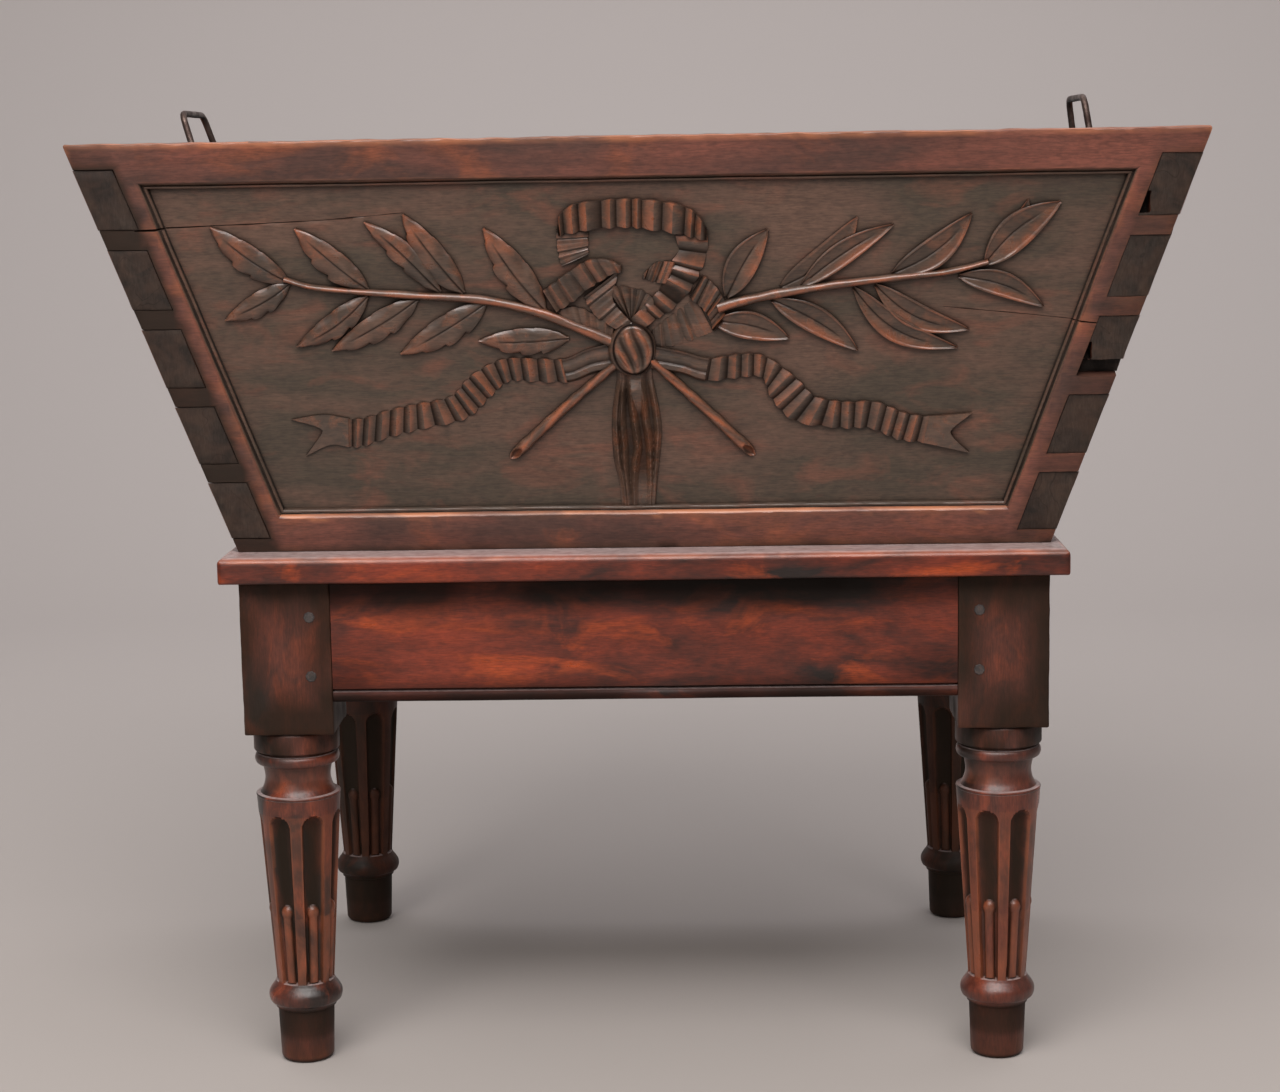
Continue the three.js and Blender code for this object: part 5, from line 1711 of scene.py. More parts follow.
def swell(radius: float, out: float, low: float, high: float, steps: int) -> list[Share]:
    """Draws a half-round moulding.

    Args:
        radius: its largest radius.
        out: how far it stands out.
        low: the height of its lower edge.
        high: the height of its upper edge.
        steps: the number of even steps round it.

    Returns:
        Radius and height of each point.
    """
    middle, half = (low + high) / 2, (high - low) / 2
    angles = np.linspace(-math.pi / 2, math.pi / 2, steps + 1)
    return [(radius - out + out * math.cos(a), middle + half * math.sin(a)) for a in angles]


@dataclass(frozen=True)
class LegShape:
    """One turned leg, from its block down to its foot. Lengths are in millimetres."""

    block: float = 86.0
    block_low: float = 332.7
    block_top: float = 480.7
    collar_radius: float = 41.3
    collar_height: float = 21.0
    groove_radius: float = 38.6
    groove_height: float = 2.5
    bead_radius: float = 40.7
    bead_height: float = 11.0
    neck_top_radius: float = 34.4
    neck_radius: float = 31.5
    neck_height: float = 29.0
    flare_radius: float = 36.5
    shoulder_radius: float = 40.7
    shoulder_height: float = 3.0
    column_top_radius: float = 40.3
    column_base_radius: float = 28.1
    ring_radius: float = 35.8
    ring_height: float = 23.0
    ring_outline_shares: tuple[Share, ...] = (
        (0.83, 0.01), (0.95, 0.1), (1.0, 0.32), (0.99, 0.52), (0.92, 0.72), (0.84, 0.88), (0.8, 1.0)
    )
    fillet_radius: float = 29.4
    fillet_height: float = 4.0
    foot_height: float = 53.0
    foot_top_radius: float = 27.4
    foot_base_radius: float = 25.7
    foot_round: float = 5.5
    flute_count: int = 7
    flute_phase: float = 0.44
    flute_drop: float = 16.0
    flute_top_half: float = 11.2
    flute_base_half: float = 8.5
    flute_depth: float = 5.4
    cable_height: float = 69.0
    cable_half: float = 5.8
    bud_radius: float = 7.6
    turns_per_flute: int = 40

    @property
    def ring_top(self) -> float:
        """The height at which the fluted column meets the ring."""
        return self.foot_height + self.fillet_height + self.ring_height

    @property
    def bead_low(self) -> float:
        """The height at which the neck meets the bead."""
        return self.block_low - self.collar_height - self.groove_height - self.bead_height

    @property
    def column_top(self) -> float:
        """The height at which the column meets its shoulder."""
        return self.bead_low - self.neck_height - self.shoulder_height

    def profile(self) -> Array:
        """The turned outline.

        Returns:
            Radius and height of each point, from the foot up into the block.
        """
        collar_low, bead_low = self.block_low - self.collar_height, self.bead_low
        groove_low, neck_low = collar_low - self.groove_height, bead_low - self.neck_height
        ring_low, soft = self.foot_height + self.fillet_height, self.foot_round
        foot_low, foot_top = (self.foot_base_radius, soft), (self.foot_top_radius, self.foot_height)
        column_low = (self.column_base_radius, self.ring_top)
        column_top = (self.column_top_radius, self.column_top)
        ring = [
            (self.ring_radius * out, ring_low + self.ring_height * up) for out, up in self.ring_outline_shares
        ]
        neck = [
            (self.flare_radius, neck_low + 0.5), (self.neck_radius + 1.5, neck_low + self.neck_height * 0.25),
            (self.neck_radius, neck_low + self.neck_height * 0.55),
            (self.neck_top_radius - 1.2, bead_low - 2.5), (self.neck_top_radius, bead_low),
        ]
        return np.array([
            (0.5, 0.0), (self.foot_base_radius * 0.5, 0.0),
            *arc((self.foot_base_radius - soft, soft), soft, -90, 0, 8),
            *between(foot_low, foot_top, np.linspace(0.1, 1, 8)),
            (self.fillet_radius - 1.2, self.foot_height + 0.2), (self.fillet_radius, self.foot_height + 0.8),
            (self.fillet_radius, ring_low - 0.2), *smooth_path(ring, 24),
            *between(column_low, column_top, np.linspace(0.004, 1, 112)),
            *swell(self.shoulder_radius, self.shoulder_height / 3, self.column_top + 0.3, neck_low, 8),
            (self.flare_radius + 1.0, neck_low + 0.2), *smooth_path(neck, 16),
            *swell(self.bead_radius, self.bead_height / 3, bead_low + 0.2, groove_low, 12),
            (self.groove_radius, groove_low + 0.6), (self.groove_radius - 0.6, collar_low - 0.8),
            *arc((self.collar_radius - 2, collar_low + 2), 2, -90, 0, 4),
            *arc((self.collar_radius - 3.5, self.block_low - 3.5), 3.5, 0, 75, 5),
            (self.collar_radius - 4, self.block_low + 5),
        ])


@dataclass(frozen=True)
class Stand:
    """The stand: four turned legs, four pegged rails and a moulded frame. Lengths are in millimetres."""

    finishes: Finishes
    leg: LegShape = LegShape()
    width: float = 764.0
    depth: float = 550.0
    seat: float = 506.0
    overhang: float = 17.0
    frame_thickness: float = 25.0
    frame_width: float = 75.0
    frame_round: float = 7.0
    frame_softening: float = 3.0
    corner: float = 5.0
    gap: float = 0.3
    rail_height: float = 117.0
    rail_thickness: float = 26.0
    rail_setback: float = 1.0
    bead: float = 5.5
    quirk: float = 2.2
    peg_diameter: float = 11.0
    peg_length: float = 34.0
    peg_inset: float = 20.0
    peg_rise: float = 57.0
    peg_proud: float = 0.8
    cell: float = 12.0

    def fluting_tree(self) -> ShapeTree:
        """Builds the tree that cuts flutes with cabling into a turned column.

        Returns:
            The tree. Its source is the column, standing on the Z axis.
        """
        names = "Flutes, Phase, Top, Base, Top half, Base half, Depth, Cable top, Cable half, Bud radius"
        shape = ShapeTree("cabled_fluting", names)
        add, entry = shape.add, shape.entry
        place = add("ShaderNodeSeparateXYZ", (add("GeometryNodeInputPosition"),))
        x, y, z = (place[axis] for axis in "XYZ")
        flutes, phase, top, base, top_half, base_half, depth, cable_top, cable_half, bud_radius = (
            entry[name] for name in names.split(", ")
        )

        # Round the column each flute has a cell of its own, and side is the distance from its middle.
        radius = (x * x + y * y).into(MATH, operation="SQRT")
        angle = x.into(MATH, y * -1.0, operation="ARCTAN2")
        cell = (angle / TURN * flutes + (phase + 0.5)).into(MATH, operation="FRACT")
        side = (cell - 0.5) * (radius * TURN / flutes)
        square = side * side

        # The hollow widens upward and ends in a round top.
        half = z.into(RANGE, base, top, base_half, top_half)
        over = (z - (top - top_half)).most(0.0)
        room = half * half - over * over
        bowl = ((room - square).most(0.0) / (half * half)) ** 0.24
        starts = z.into(RANGE, base, base + 1.5 * MM)
        bed = radius - bowl * starts * (depth * (z < top))

        # The cabling is a reed that fills the lower part of the flute, with a round bud on its top.
        floor = radius - depth * 1.06
        reed = (cable_half * cable_half - square).most(0.0).into(MATH, operation="SQRT") * 0.88 + floor
        reed_here = (z < cable_top) * starts
        rise = z - (cable_top + bud_radius * 0.5)
        bud_square = bud_radius * bud_radius - (rise * rise + square)
        bud_here = bud_square > 0.0
        bud = floor + bud_square.most(0.0).into(MATH, operation="SQRT") * 0.74
        bed = bed.most(reed * reed_here).most(bud * bud_here)
        scale = bed / radius
        moved = add("ShaderNodeCombineXYZ", (x * scale, y * scale, z))

        # Dirt lies in the hollows, and the arrises between flutes, the reeds and the buds are rubbed.
        filled, above_floor = reed_here.most(bud_here), bed - floor
        darkening = ((radius - bed) / depth).most(0.0) * 0.92 * (filled * (above_floor > 1 * MM) * -0.75 + 1.0)
        edge = room.most(0.0).into(MATH, operation="SQRT") - abs(side)
        fillet = (edge < 0.4 * MM) * (z < top) * (z > base + 1.5 * MM)
        crisp = edge.into(RANGE, -2.2 * MM, -0.2 * MM, 0.2, 0.62) * fillet
        raised = above_floor.into(RANGE, 1.6 * MM, 3.3 * MM, 0.0, 0.5) * filled
        stored = shape.stored(entry["Geometry"], sunk=darkening, rub=crisp.most(raised))
        shape.end_with(add("GeometryNodeSetPosition", {"Geometry": stored, "Position": moved}))
        return shape

    def column(self) -> Shell:
        """Turns and flutes one leg below its block.

        Returns:
            The column, standing on the Z axis.
        """
        leg = self.leg
        x, y = circle(1.0, leg.flute_count * leg.turns_per_flute).T
        radius, height = leg.profile().T[:, :, None]
        turned = loft(np.stack([radius * x, radius * y, height + 0 * x], axis=2))
        mesh = self.fluting_tree().run((turned.points * MM).tolist(), turned.faces, {
            "Flutes": float(leg.flute_count), "Phase": leg.flute_phase, "Base": leg.ring_top * MM,
            "Top": (leg.column_top - leg.flute_drop) * MM, "Top half": leg.flute_top_half * MM,
            "Base half": leg.flute_base_half * MM, "Depth": leg.flute_depth * MM,
            "Cable top": (leg.ring_top + leg.cable_height) * MM, "Cable half": leg.cable_half * MM,
            "Bud radius": leg.bud_radius * MM, "Finish": self.finishes.leg,
        })
        count = len(mesh.vertices)
        points, rub, sunk = np.empty(3 * count), np.empty(count), np.empty(count)
        mesh.vertices.foreach_get("co", points)
        for name, values in (("rub", rub), ("sunk", sunk)):
            mesh.attributes[name].data.foreach_get("value", values)
        faces = [tuple(polygon.vertices) for polygon in mesh.polygons]
        bpy.data.meshes.remove(mesh)
        return self.handled(Shell(points.reshape(-1, 3) / MM, faces, rub, sunk))

    def handled(self, column: Shell) -> Shell:
        """Marks where a column has been kicked bright and where wax has stayed dark, and paints the block's
        shade on the collar.

        Args:
            column: the turned and fluted column, standing on the Z axis.

        Returns:
            The same column with more wear, dirt and painted shade.
        """
        leg, z = self.leg, column.points[:, 2]
        uneven = 0.7 + 0.6 * KNOCKS.at(column.points)[:, 0]
        in_neck = (z > leg.bead_low - 0.85 * leg.neck_height) & (z < leg.bead_low - 1)
        kicked = clipped(1.4 - z / (0.36 * leg.foot_height))
        on_foot = z < leg.foot_height + 2
        waxed = clipped((z - 0.4 * leg.foot_height) / 8) * on_foot
        in_collar = z > leg.block_low - leg.collar_height - leg.groove_height
        rub = np.maximum.reduce([column.rub, 0.22 * in_neck * uneven, 0.35 * kicked * uneven])
        # The collar under the block is darkened with wax and painted shade.
        collar_shade_and_wax = clipped(0.85 * in_collar * uneven, 0, 0.9)
        sunk = np.maximum.reduce([column.sunk, collar_shade_and_wax, 0.82 * waxed, 0.5 * on_foot])
        return replace(column, rub=clipped(rub), sunk=clipped(sunk, 0, 0.95))

    def block(self, x: float, y: float) -> Shell:
        """Shapes the square block at the top of one leg, with knocked arrises, dark wax round its faces
        and painted shade under the frame at its top.

        Args:
            x: its middle on the X axis.
            y: its middle on the Y axis.

        Returns:
            The block, in place.
        """
        leg = self.leg
        middle, half_height = (leg.block_top + leg.block_low) / 2, (leg.block_top - leg.block_low) / 2
        mesh = bmesh.new()
        bmesh.ops.create_cube(mesh, size=1)
        bmesh.ops.scale(mesh, vec=(leg.block, leg.block, 2 * half_height), verts=mesh.verts)
        bmesh.ops.translate(mesh, vec=(x, y, middle), verts=mesh.verts)
        shell = Wear(arris=1.5, cell=7.0, wander=0.25, knock=0.8, polish=0.3).applied(mesh)
        across = np.min(np.abs(shell.points[:, :2] - (x, y)), axis=1) / (leg.block / 2)
        upward = np.abs(shell.points[:, 2] - middle) / half_height
        near_edge = clipped((np.maximum(across, upward) - 0.2) / 0.6)
        # Painted shade under the frame darkens the top of the block.
        shaded = clipped(1.5 - (leg.block_top - shell.points[:, 2]) / 20)
        wax = near_edge * (0.66 + 0.3 * HAND_WORK.at(shell.points * 2)[:, 0]) + 0.25
        shell.sunk = clipped(np.maximum(wax, 0.85 * shaded), 0, 0.9)
        return shell

    def legs(self) -> None:
        """Builds the four legs. The back ones stand in the shade, which is painted on them as a darker colour.
        """
        column = self.column()
        for row in (Quarter.FRONT, Quarter.BACK):
            for side in Side:
                x = side.value * (self.width - self.leg.block) / 2
                y = row.value[1] * (self.depth - self.leg.block) / 2
                name = f"{row.name.lower()}_{side.name.lower()}_leg"
                whole = Shell.joined([replace(column, points=column.points + (x, y, 0)), self.block(x, y)])
                if row is Quarter.BACK:
                    # Painted shade on the back legs.
                    whole.sunk = 0.68 + 0.32 * whole.sunk
                shell_piece(f"turned_{name}", whole, self.finishes.leg, "stand", [name], 38.0)

    def lengthwise(self, section: Array, half_run: Array, across: Array, along: int, wander: float) -> Shell:
        """Runs a section along X or Y.

        Args:
            section: inset and height of each of its points.
            half_run: half the length at each point of the section.
            across: the coordinate square to the run, of each point.
            along: the axis of the run, 0 or 1.
            wander: how far the hand-planed faces stray.

        Returns:
            The shell.
        """
        steps = int(2 * half_run.max() / self.cell)
        near_end = 1 - np.array([7.0, 5.0, 3.4, 2.0, 0.9]) / half_run.max()
        shares = np.sort([-1, *-near_end, *np.linspace(-1, 1, steps + 1)[1:-1], *near_end, 1])
        rings = np.empty((len(shares), len(section), 3))
        rings[:, :, along] = shares[:, None] * half_run
        rings[:, :, 1 - along] = across
        rings[:, :, 2] = section[:, 1]
        shell = loft(rings)
        shell.points = shell.points + wander * HAND_WORK.at(shell.points) * (1.0, 1.0, 0.6)
        return shell

    def frame_section(self) -> Array:
        """Draws the frame's section: rounded over on top, softened below, and fine enough to wear.

        Returns:
            Inset and height of each point.
        """
        low, soft, turn = self.seat - self.frame_thickness, self.frame_softening, self.frame_round
        return np.array([
            *arc((soft, low + soft), soft, 270, 180, 5),
            *[(0.0, z) for z in np.linspace(low + soft, self.seat - turn, 5)[1:-1]],
            *arc((turn, self.seat - turn), turn, 180, 90, 8),
            *[(inset, self.seat) for inset in np.linspace(turn, self.frame_width, 5)[1:]],
            (self.frame_width, low),
        ])

    def frame_mouldings(self) -> None:
        """Builds the four mitred lengths of the frame."""
        section = self.frame_section()
        half = np.array([self.width, self.depth]) / 2 + self.overhang
        for quarter in Quarter:
            name, (along, sign) = quarter.name.lower(), quarter.value
            half_run = half[along] - section[:, 0] - self.gap / math.sqrt(2)
            across = sign * (half[1 - along] - section[:, 0])
            shell = self.lengthwise(section, half_run, across, along, wander=0.3)
            points = shell.points
            reach = np.maximum(np.abs(points[:, :2]) - (half - self.corner), 0)
            beyond, at_corner = np.linalg.norm(reach, axis=1), np.min(reach, axis=1) > 0
            pull = (np.minimum(beyond, self.corner) / np.maximum(beyond, 1e-6) - 1) * at_corner
            points[:, :2] += np.sign(points[:, :2]) * reach * pull[:, None]
            # The top outer arris is lighter: partly rubbed wear, partly a painted highlight.
            crest = np.abs(points[:, 2] - self.seat + 2.5) < 2.6
            outer = np.abs(points[:, 1 - along]) > half[1 - along] - 6
            shell.rub = 0.9 * crest * outer * clipped(0.7 + 0.6 * KNOCKS.at(points)[:, 1])
            finish = self.finishes.rails[along]
            nodes = [f"{name}_frame_moulding"]
            shell_piece(f"{name}_frame_length", shell, finish, "stand", nodes, 45.0)

    def rail_section(self, beaded: bool) -> Array:
        """Draws a rail's section.

        Args:
            beaded: whether a bead and quirk run along its lower edge.

        Returns:
            Inset and height of each point.
        """
        top = self.seat - self.frame_thickness - self.gap
        low, outer, inner = top - self.rail_height, self.rail_setback, self.rail_setback + self.rail_thickness
        edge = [(outer + 1, low), (outer, low + 1)]
        if beaded:
            bead_top = low + 2 * self.bead
            edge = [
                *arc((outer + self.bead, low + self.bead), self.bead, 270, 90, 14),
                (outer + self.bead, bead_top + self.quirk / 2), (outer + 0.5, bead_top + self.quirk),
            ]
        face = [(outer, z) for z in np.linspace(low + 2 * self.bead + self.quirk + 0.4, top, 16)]
        return np.array([(inner, low), *edge, *face, (inner, top)])

    def rails(self) -> None:
        """Builds the four rails, darker towards their edges and lower corners, with painted shade under the
        frame along their tops.
        """
        half = (self.width / 2, self.depth / 2)
        for quarter in Quarter:
            name, (along, sign) = quarter.name.lower(), quarter.value
            beaded = quarter is not Quarter.BACK
            section = self.rail_section(beaded)
            half_run = np.full(len(section), half[along] - self.leg.block - self.gap)
            across = sign * (half[1 - along] - section[:, 0])
            shell = self.lengthwise(section, half_run, across, along, wander=0.25)
            from_top = self.seat - self.frame_thickness - shell.points[:, 2]
            from_low = self.rail_height - from_top
            from_end = half_run[0] - np.abs(shell.points[:, along])
            corner = clipped(1.1 - np.hypot(from_end, 1.3 * from_low) / 90, 0, 0.8)
            # The band under the frame's overhang is painted shade; the lower edge and the corners by the legs
            # are darker too.
            edge = np.maximum.reduce([clipped((42 - from_top) / 22), clipped(1.25 - from_low / 24), corner])
            shell.sunk = clipped(0.93 * edge + 0.25 * HAND_WORK.at(shell.points)[:, 1] * edge, 0, 0.95)
            label = f"{name}_beaded_rail" if beaded else f"plain_{name}_rail"
            finish = self.finishes.rails[along]
            shell_piece(label, shell, finish, "stand", [f"{name}_rail"], 50.0)

    def peg_tree(self) -> ShapeTree:
        """Builds the tree that sets a riven peg at each source point, square to its axis.

        Returns:
            The tree.
        """
        shape = ShapeTree("riven_pegs", "Radius, Length, Proud", ("Seed",))
        add, entry = shape.add, shape.entry
        chamfer = entry["Radius"] * 0.86
        head = add("GeometryNodeMeshCone", {
            "Vertices": 8, "Side Segments": 1, "Fill Segments": 3, "Radius Top": chamfer,
            "Radius Bottom": entry["Radius"], "Depth": entry["Proud"],
        })
        shank = add("GeometryNodeMeshCone", {
            "Vertices": 8, "Radius Top": entry["Radius"], "Radius Bottom": chamfer, "Depth": entry["Length"],
        })
        down = add("ShaderNodeCombineXYZ", {2: entry["Length"] * -1.0})
        shank = add("GeometryNodeTransform", {"Geometry": shank, "Translation": down})
        both = add("GeometryNodeJoinGeometry", ([head, shank],))
        peg = add("GeometryNodeMergeByDistance", {"Geometry": both, "Distance": 0.01 * MM})
        turns = {2: 0.0, 3: math.pi / 4, "Seed": entry["Seed"]}
        shape.end_with_copies(peg, add("FunctionNodeRandomValue", turns, 1, data_type="FLOAT"))
        return shape

    def pegs(self) -> None:
        """Builds the sixteen pegs."""
        half, inset = (self.width / 2, self.depth / 2), self.leg.block - self.peg_inset
        places, axes, nodes = [], [], []
        for quarter in Quarter:
            along, sign = quarter.value
            for end in (-1, 1):
                for level in (0, 1):
                    place = [0.0, 0.0, (self.leg.block_low + self.peg_rise * (1 + level)) * MM]
                    place[along] = end * (half[along] - inset) * MM
                    place[1 - along] = sign * half[1 - along] * MM
                    places.append(place)
                    axes += [0.0, float(sign), 0.0] if along == 0 else [float(sign), 0.0, 0.0]
                    nodes.append(f"{quarter.name.lower()}_rail_peg_{end + 2 + level}")
        mesh = self.peg_tree().run(places, [], {
            "Radius": self.peg_diameter / 2 * MM, "Length": self.peg_length * MM,
            "Proud": self.peg_proud * MM, "Seed": 4, "Finish": self.finishes.peg,
        }, axes)
        place_piece("riven_rail_pegs", mesh, "stand", nodes)

    def build(self) -> None:
        """Builds the whole stand."""
        self.legs()
        self.frame_mouldings()
        self.rails()
        self.pegs()


# The liner


@dataclass(frozen=True)
class Liner:
    """The lift-out zinc liner with a wired rim, ears and two iron bails. Lengths are in millimetres."""

    finishes: Finishes
    base_height: float = 531.6
    top_height: float = 884.7
    base_half: Share = (351.6, 212.9)
    top_half: Share = (458.4, 261.1)
    sheet: float = 1.5
    wire_radius: float = 3.0
    wire_height: float = 888.0
    wire_half: Share = (457.6, 260.4)
    wire_corner: float = 9.0
    pivot_x: float = 447.997
    pivot_height: float = 880.0
    rod_radius: float = 3.5
    reach: float = 45.0
    top_half_span: float = 53.0
    pivot_half_span: float = 61.0
    pin_length: float = 24.0
    top_bend: float = 12.0
    foot_bend: float = 5.0
    left_lean: float = 17.34
    right_lean: float = -9.0
    ear_width: float = 14.0
    ear_side_gap: float = 1.0
    ear_ease: float = 0.35
    strap: float = 2.3
    strap_fall: float = 28.0
    pivot_inset: float = 7.1
    clearance: float = 0.3
    rivet_radius: float = 2.6
    rivet_falls: Share = (13.5, 22.5)

    @property
    def end_lean(self) -> float:
        """The angle at which the liner's ends lean out, in radians."""
        return math.atan((self.top_half[0] - self.base_half[0]) / (self.top_height - self.base_height))

    @property
    def ear_start(self) -> float:
        """The distance from the middle of an end to the near edge of an ear."""
        return self.pivot_half_span + self.foot_bend + self.ear_side_gap

    def sheets(self) -> None:
        """Builds the folded sheet and the two ends, a little dented."""
        wear = Wear(arris=0.0, cell=24.0, wander=0.12, knock=0.0)
        for node in ("liner_folded_sheet", "liner_left_end", "liner_right_end"):
            shell = wear.applied(node_bmesh(node))
            shell_piece(f"{node}_dented", shell, self.finishes.zinc, "liner", [node])

    def rim_wire(self) -> None:
        """Builds the rim: sheet rolled round a wire, with rounded corners."""
        (half_x, half_y), bend = self.wire_half, self.wire_corner
        bends, line = [], []
        for x, y, start in ((1, 1, 0), (-1, 1, 90), (-1, -1, 180), (1, -1, 270)):
            bends += arc((x * (half_x - bend), y * (half_y - bend)), bend, start, start + 90, 10)
        for start, end in zip(np.array(bends), np.roll(bends, -1, axis=0)):
            steps = max(1, int(np.linalg.norm(end - start) / 14))
            line += [(*(start + (end - start) * i / steps), self.wire_height) for i in range(steps)]
        rings = along_path(np.array(line), UP, circle(self.wire_radius, 20), closed=True)
        shell = loft(rings, ring_closed=True)
        shell.points = shell.points + 0.08 * KNOCKS.at(shell.points)
        shell_piece("wired_rim", shell, self.finishes.zinc, "liner", ["liner_rim_wire"])

    def bail(self, side: Side, lean: float) -> None:
        """Builds one bail of forged rod.

        Args:
            side: the end of the trough that it is at.
            lean: how far it leans out, in degrees.
        """
        foot, shoulder = np.array([-self.pivot_half_span, 0.0]), np.array([-self.top_half_span, self.reach])
        tip, middle = foot - [self.pin_length, 0], np.array([0.0, self.reach])

        def bend(before: Array, corner: Array, after: Array, radius: float) -> Array:
            """The points of a bend between two straight stretches, which meet at the corner."""
            start, end = (radius * (far - corner) / np.linalg.norm(far - corner) for far in (before, after))
            return np.array([corner + (1 - t) ** 2 * start + t**2 * end for t in np.linspace(0, 1, 9)])

        foot_bend = bend(tip, foot, shoulder, self.foot_bend)
        half = [tip, *foot_bend, *bend(foot, shoulder, middle, self.top_bend), middle]
        flat = np.array(half + [point * (-1, 1) for point in half[-2::-1]])
        y, r = spaced(flat, 149).T
        run = np.linspace(0, length_along(flat)[-1], 150)
        sine, cosine = math.sin(math.radians(lean)), math.cos(math.radians(lean))
        path = np.stack([side.value * (self.pivot_x + r * sine), y, self.pivot_height + r * cosine], axis=1)
        normal = np.array([side.value * cosine, 0.0, -sine])
        free = (np.abs(y) < self.pivot_half_span - 1)[:, None]
        loss = 1 - 0.05 * free * clipped(1 + KNOCKS.at(path * 1.7)[:, :1], 0, 2)
        thickness = loss * (0.25 + 0.75 * np.sqrt(clipped(np.minimum(run, run[-1] - run) / 2.0)))[:, None]
        shell = loft(along_path(path, normal, circle(self.rod_radius, 18) * thickness[:, :, None]))
        shell.rub = 0.8 * clipped((shell.points[:, 2] - self.pivot_height - 30) / 14)
        name = f"{side.name.lower()}_bail"
        shell_piece(f"forged_{name}", shell, self.finishes.iron, name, [name])

    def on_end(self, side: Side, rise: float | Array, out: float | Array, y: float) -> Array:
        """Finds places beside a pivot.

        Args:
            side: the end of the liner.
            rise: how far up the leaning end they are from the pivot.
            out: how far out they are, square to the end.
            y: their place along the end.

        Returns:
            The places, in the object's frame.
        """
        sine, cosine = math.sin(self.end_lean), math.cos(self.end_lean)
        x = side.value * (self.pivot_x + rise * sine + out * cosine)
        return np.stack([x, y + 0 * x, self.pivot_height + rise * cosine - out * sine], axis=-1)

    def strap_shell(self, outline: Array, side: Side, end: int) -> Shell:
        """Runs an outline across a strap's width, with its edges eased.

        Args:
            outline: how far up and how far out from the pivot each point is.
            side: the end of the liner.
            end: -1 for the ear at the front, and 1 for the one at the back.

        Returns:
            The shell.
        """
        middle, width = outline.mean(axis=0), self.ear_width
        reach = outline - middle
        rings = []
        for run, ease in ((0, self.ear_ease), (0.5, 0), (width - 0.5, 0), (width, self.ear_ease)):
            eased = middle + reach * (1 - ease / np.maximum(np.linalg.norm(reach, axis=1, keepdims=True), 3))
            rings.append(self.on_end(side, eased[:, 0], eased[:, 1], end * (self.ear_start + run)))
        return loft(np.array(rings))

    def ears(self) -> None:
        """Builds the four ears, each a strap wrapped round a pin."""
        inner, wall = self.rod_radius + self.clearance, self.pivot_inset - self.clearance
        outer = inner + self.strap - 0.1
        ring = arc((0.0, 0.0), outer, 128, 412, 30) + arc((0.0, 0.0), inner, 412, 128, 30)
        wrap = np.array([(-y, x) for x, y in ring])
        leaf = np.array([
            (-self.strap_fall, wall), (-self.strap_fall, wall - self.strap),
            (-outer - 0.4, wall - self.strap), (-2.2, wall - 0.4), (-3.2, wall),
        ])
        for side in Side:
            for row in (Quarter.FRONT, Quarter.BACK):
                name = f"{side.name.lower()}_{row.name.lower()}_ear"
                shells = [self.strap_shell(outline, side, row.value[1]) for outline in (wrap, leaf)]
                ear = Shell.joined(shells)
                shell_piece(f"wrapped_{name}", ear, self.finishes.iron, "liner", [name], 35.0)

    def rivet_tree(self) -> ShapeTree:
        """Builds the tree that sets a low domed rivet head at each source point, square to its axis.

        Returns:
            The tree.
        """
        shape = ShapeTree("rivet_heads", "Radius, Rise share")
        add, entry = shape.add, shape.entry
        ball = add("GeometryNodeMeshUVSphere", {"Segments": 16, "Rings": 8, "Radius": entry["Radius"]})
        low = add("ShaderNodeCombineXYZ", (1.0, 1.0, entry["Rise share"]))
        shape.end_with_copies(add("GeometryNodeTransform", {"Geometry": ball, "Scale": low}))
        return shape

    def rivets(self) -> None:
        """Builds two rivet heads on each ear."""
        places, axes = [], []
        inner_face = self.pivot_inset - self.clearance - self.strap
        for side in Side:
            for end in (-1, 1):
                for fall in self.rivet_falls:
                    y = end * (self.ear_start + self.ear_width / 2)
                    places.append(self.on_end(side, -fall, inner_face, y) * MM)
                    axes += [-side.value * math.cos(self.end_lean), 0.0, math.sin(self.end_lean)]
        values = {"Radius": self.rivet_radius * MM, "Rise share": 0.5, "Finish": self.finishes.iron}
        mesh = self.rivet_tree().run(places, [], values, axes)
        mesh.shade_smooth()
        place_piece("ear_rivets", mesh, "liner", [])

    def seams(self) -> None:
        """Builds the soldered seams inside the liner's corners."""
        fillet = np.array([(0, 0, 0), (-1.6, 0, 0), (-1.0, -0.45, 0), (-0.45, -1.0, 0), (0, -1.6, 0)])
        inset, shells = self.sheet + 1.5, []
        for x in (-1, 1):
            for y in (-1, 1):
                low, high = (
                    np.array([x * (half[0] - inset), y * (half[1] - inset), level])
                    for half, level in (
                        (self.base_half, self.base_height + 2.2), (self.top_half, self.top_height - 0.5)
                    )
                )
                path = low + (high - low) * np.linspace(0, 1, 90)[:, None]
                width = 2.2 * (1 + 0.25 * KNOCKS.at(path)[:, :1, None])
                shells.append(loft(path[:, None, :] + fillet * (x, y, 0) * width))
        seams = Shell.joined(shells)
        shell_piece("soldered_corner_seams", seams, self.finishes.solder, "liner", [])

    def build(self) -> None:
        """Builds the liner, its fittings and its bails."""
        self.sheets()
        self.rim_wire()
        self.seams()
        self.ears()
        self.rivets()
        self.bail(Side.LEFT, self.left_lean)
        self.bail(Side.RIGHT, self.right_lean)


# The studio


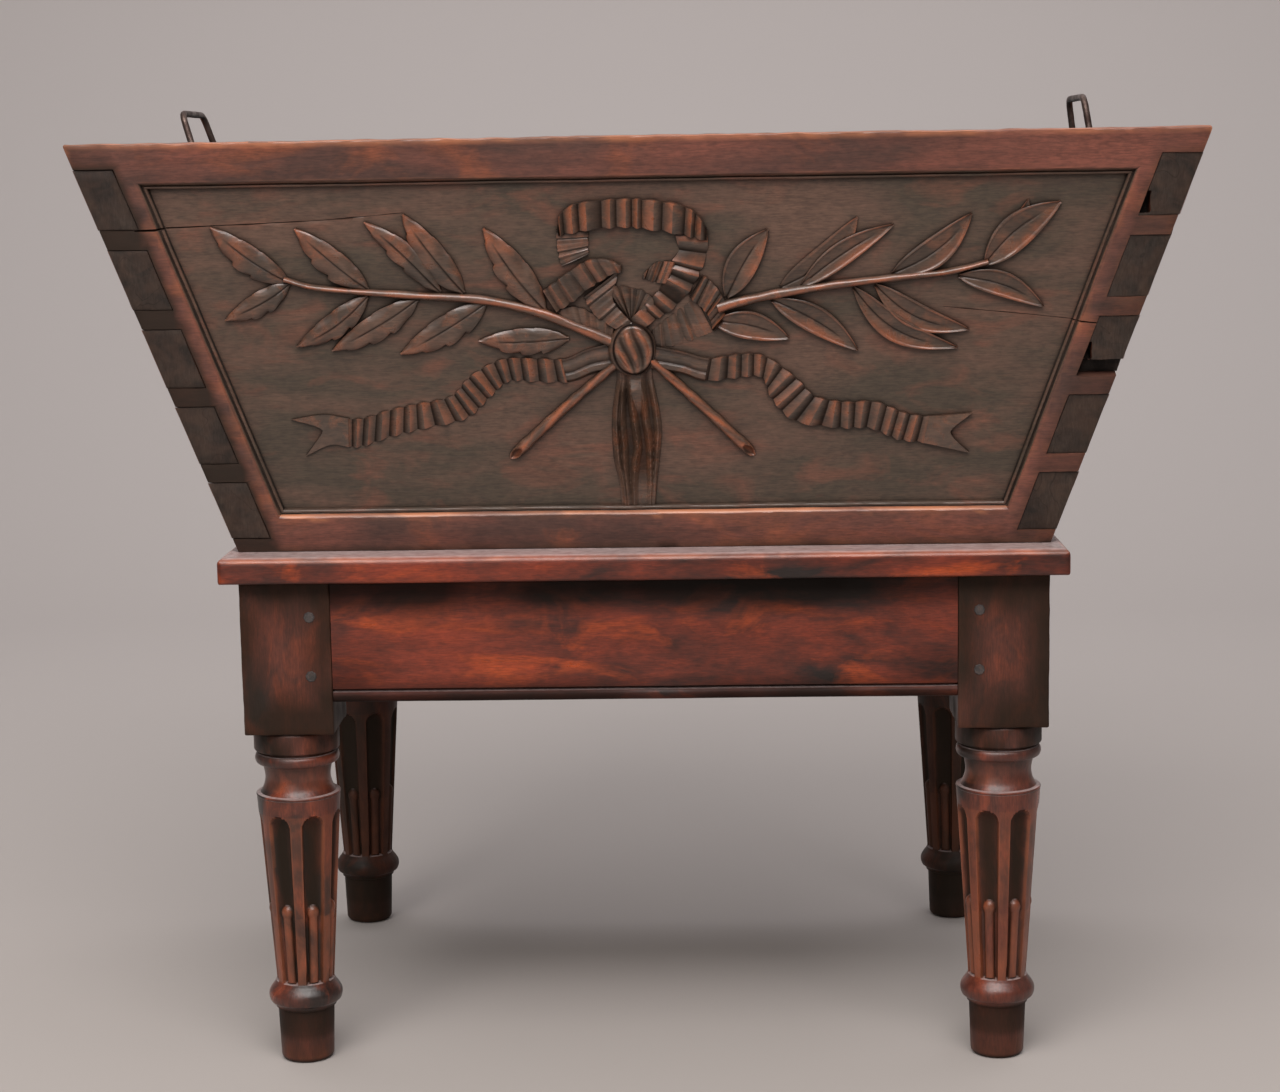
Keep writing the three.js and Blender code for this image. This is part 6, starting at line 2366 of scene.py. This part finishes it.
@dataclass(frozen=True)
class Studio:
    """The photograph's camera, soft lights and a sweep of grey paper. Lengths are in metres."""

    finishes: Finishes
    camera_place: Place = (0.06504, -2.63497, 0.86679)
    yaw: float = -0.02832
    pitch: float = 0.1495
    roll: float = 0.01638
    focal_pixels: float = 2544.89
    sensor: float = 36.0

    def camera(self) -> None:
        """Sets the camera at the photograph's place, angle and focal length."""
        data = bpy.data.cameras.new("camera")
        data.sensor_fit = "HORIZONTAL"
        data.sensor_width = self.sensor
        data.lens = self.focal_pixels / IMAGE_WIDTH * self.sensor
        camera = bpy.data.objects.new("camera", data)
        stance = Matrix.Translation(self.camera_place)
        for angle, axis in ((-self.yaw, "Z"), (math.pi / 2 - self.pitch, "X"), (-self.roll, "Z")):
            stance = stance @ Matrix.Rotation(angle, 4, axis)
        camera.matrix_world = stance
        bpy.context.scene.collection.objects.link(camera)
        bpy.context.scene.camera = camera

    def lamp(self, name: str, place: Place, aim: Place, size: Share, power: float, colour: str) -> None:
        """Adds a soft box.

        Args:
            name: the lamp's name.
            place: where it is.
            aim: the point that it faces.
            size: its width and height.
            power: its power in watts.
            colour: its colour.
        """
        data = bpy.data.lights.new(name, "AREA")
        data.shape = "RECTANGLE"
        data.size, data.size_y = size
        data.energy = power
        data.color = linear(colour)[:3]
        lamp = bpy.data.objects.new(name, data)
        lamp.location = place
        lamp.rotation_euler = (Vector(aim) - Vector(place)).to_track_quat("-Z", "Y").to_euler()
        bpy.context.scene.collection.objects.link(lamp)

    def sweep(self) -> None:
        """Lays the paper on the floor and up behind the object."""
        bend = [(2.2 + 1.5 * math.sin(a), 1.5 - 1.5 * math.cos(a)) for a in np.linspace(0.1, 1.47, 14)]
        profile = [(-9.0, 0.0), (2.2, 0.0), *bend, (3.7, 7.0)]
        points = [(x, y, z) for x in (-9.0, 9.0) for y, z in profile]
        count = len(profile)
        mesh = bpy.data.meshes.new("paper_sweep")
        mesh.from_pydata(points, [], [(i, count + i, count + i + 1, i + 1) for i in range(count - 1)])
        mesh.shade_smooth()
        mesh.materials.append(self.finishes.paper)
        sweep = bpy.data.objects.new("paper_sweep", mesh)
        bpy.context.scene.collection.objects.link(sweep)

    def build(self) -> None:
        """Builds the camera, the lights and the background."""
        self.camera()
        self.sweep()
        self.lamp("front_key", (-0.35, -1.85, 2.75), (0, 0, 0.6), (2.4, 1.6), 58.0, "#fffaf5")
        self.lamp("overhead_box", (0.0, 0.2, 3.1), (0, 0, 0.5), (4.4, 3.0), 29.0, "#fffaf5")
        self.lamp("backdrop_wash", (0.0, 1.6, 3.9), (0, 3.9, 1.9), (6.0, 2.6), 112.0, "#fbf8ff")
        self.lamp("floor_box", (0.2, -2.4, 2.6), (0, -1.3, 0), (3.6, 1.2), 54.0, "#fff8f8")
        self.lamp("front_fill", (-1.2, -3.6, 1.5), (0, 0, 0.5), (2.4, 2.0), 16.0, "#fff6ee")
        world = bpy.data.worlds.new("studio_air")
        world.use_nodes = True
        background = world.node_tree.nodes["Background"]
        background.inputs["Color"].default_value = linear("#dcdad8")
        background.inputs["Strength"].default_value = 0.27
        bpy.context.scene.world = world
        bpy.context.scene.view_settings.view_transform = "Standard"


def main() -> None:
    """Builds the whole object and its studio."""
    logging.basicConfig(level=logging.INFO, format="%(message)s")
    finishes, face = Finishes(), CarvedFace()
    Studio(finishes).build()
    Boards(face, finishes).build()
    Carving(face, finishes).build()
    Stand(finishes).build()
    Liner(finishes).build()


if __name__ == "__main__":
    main()
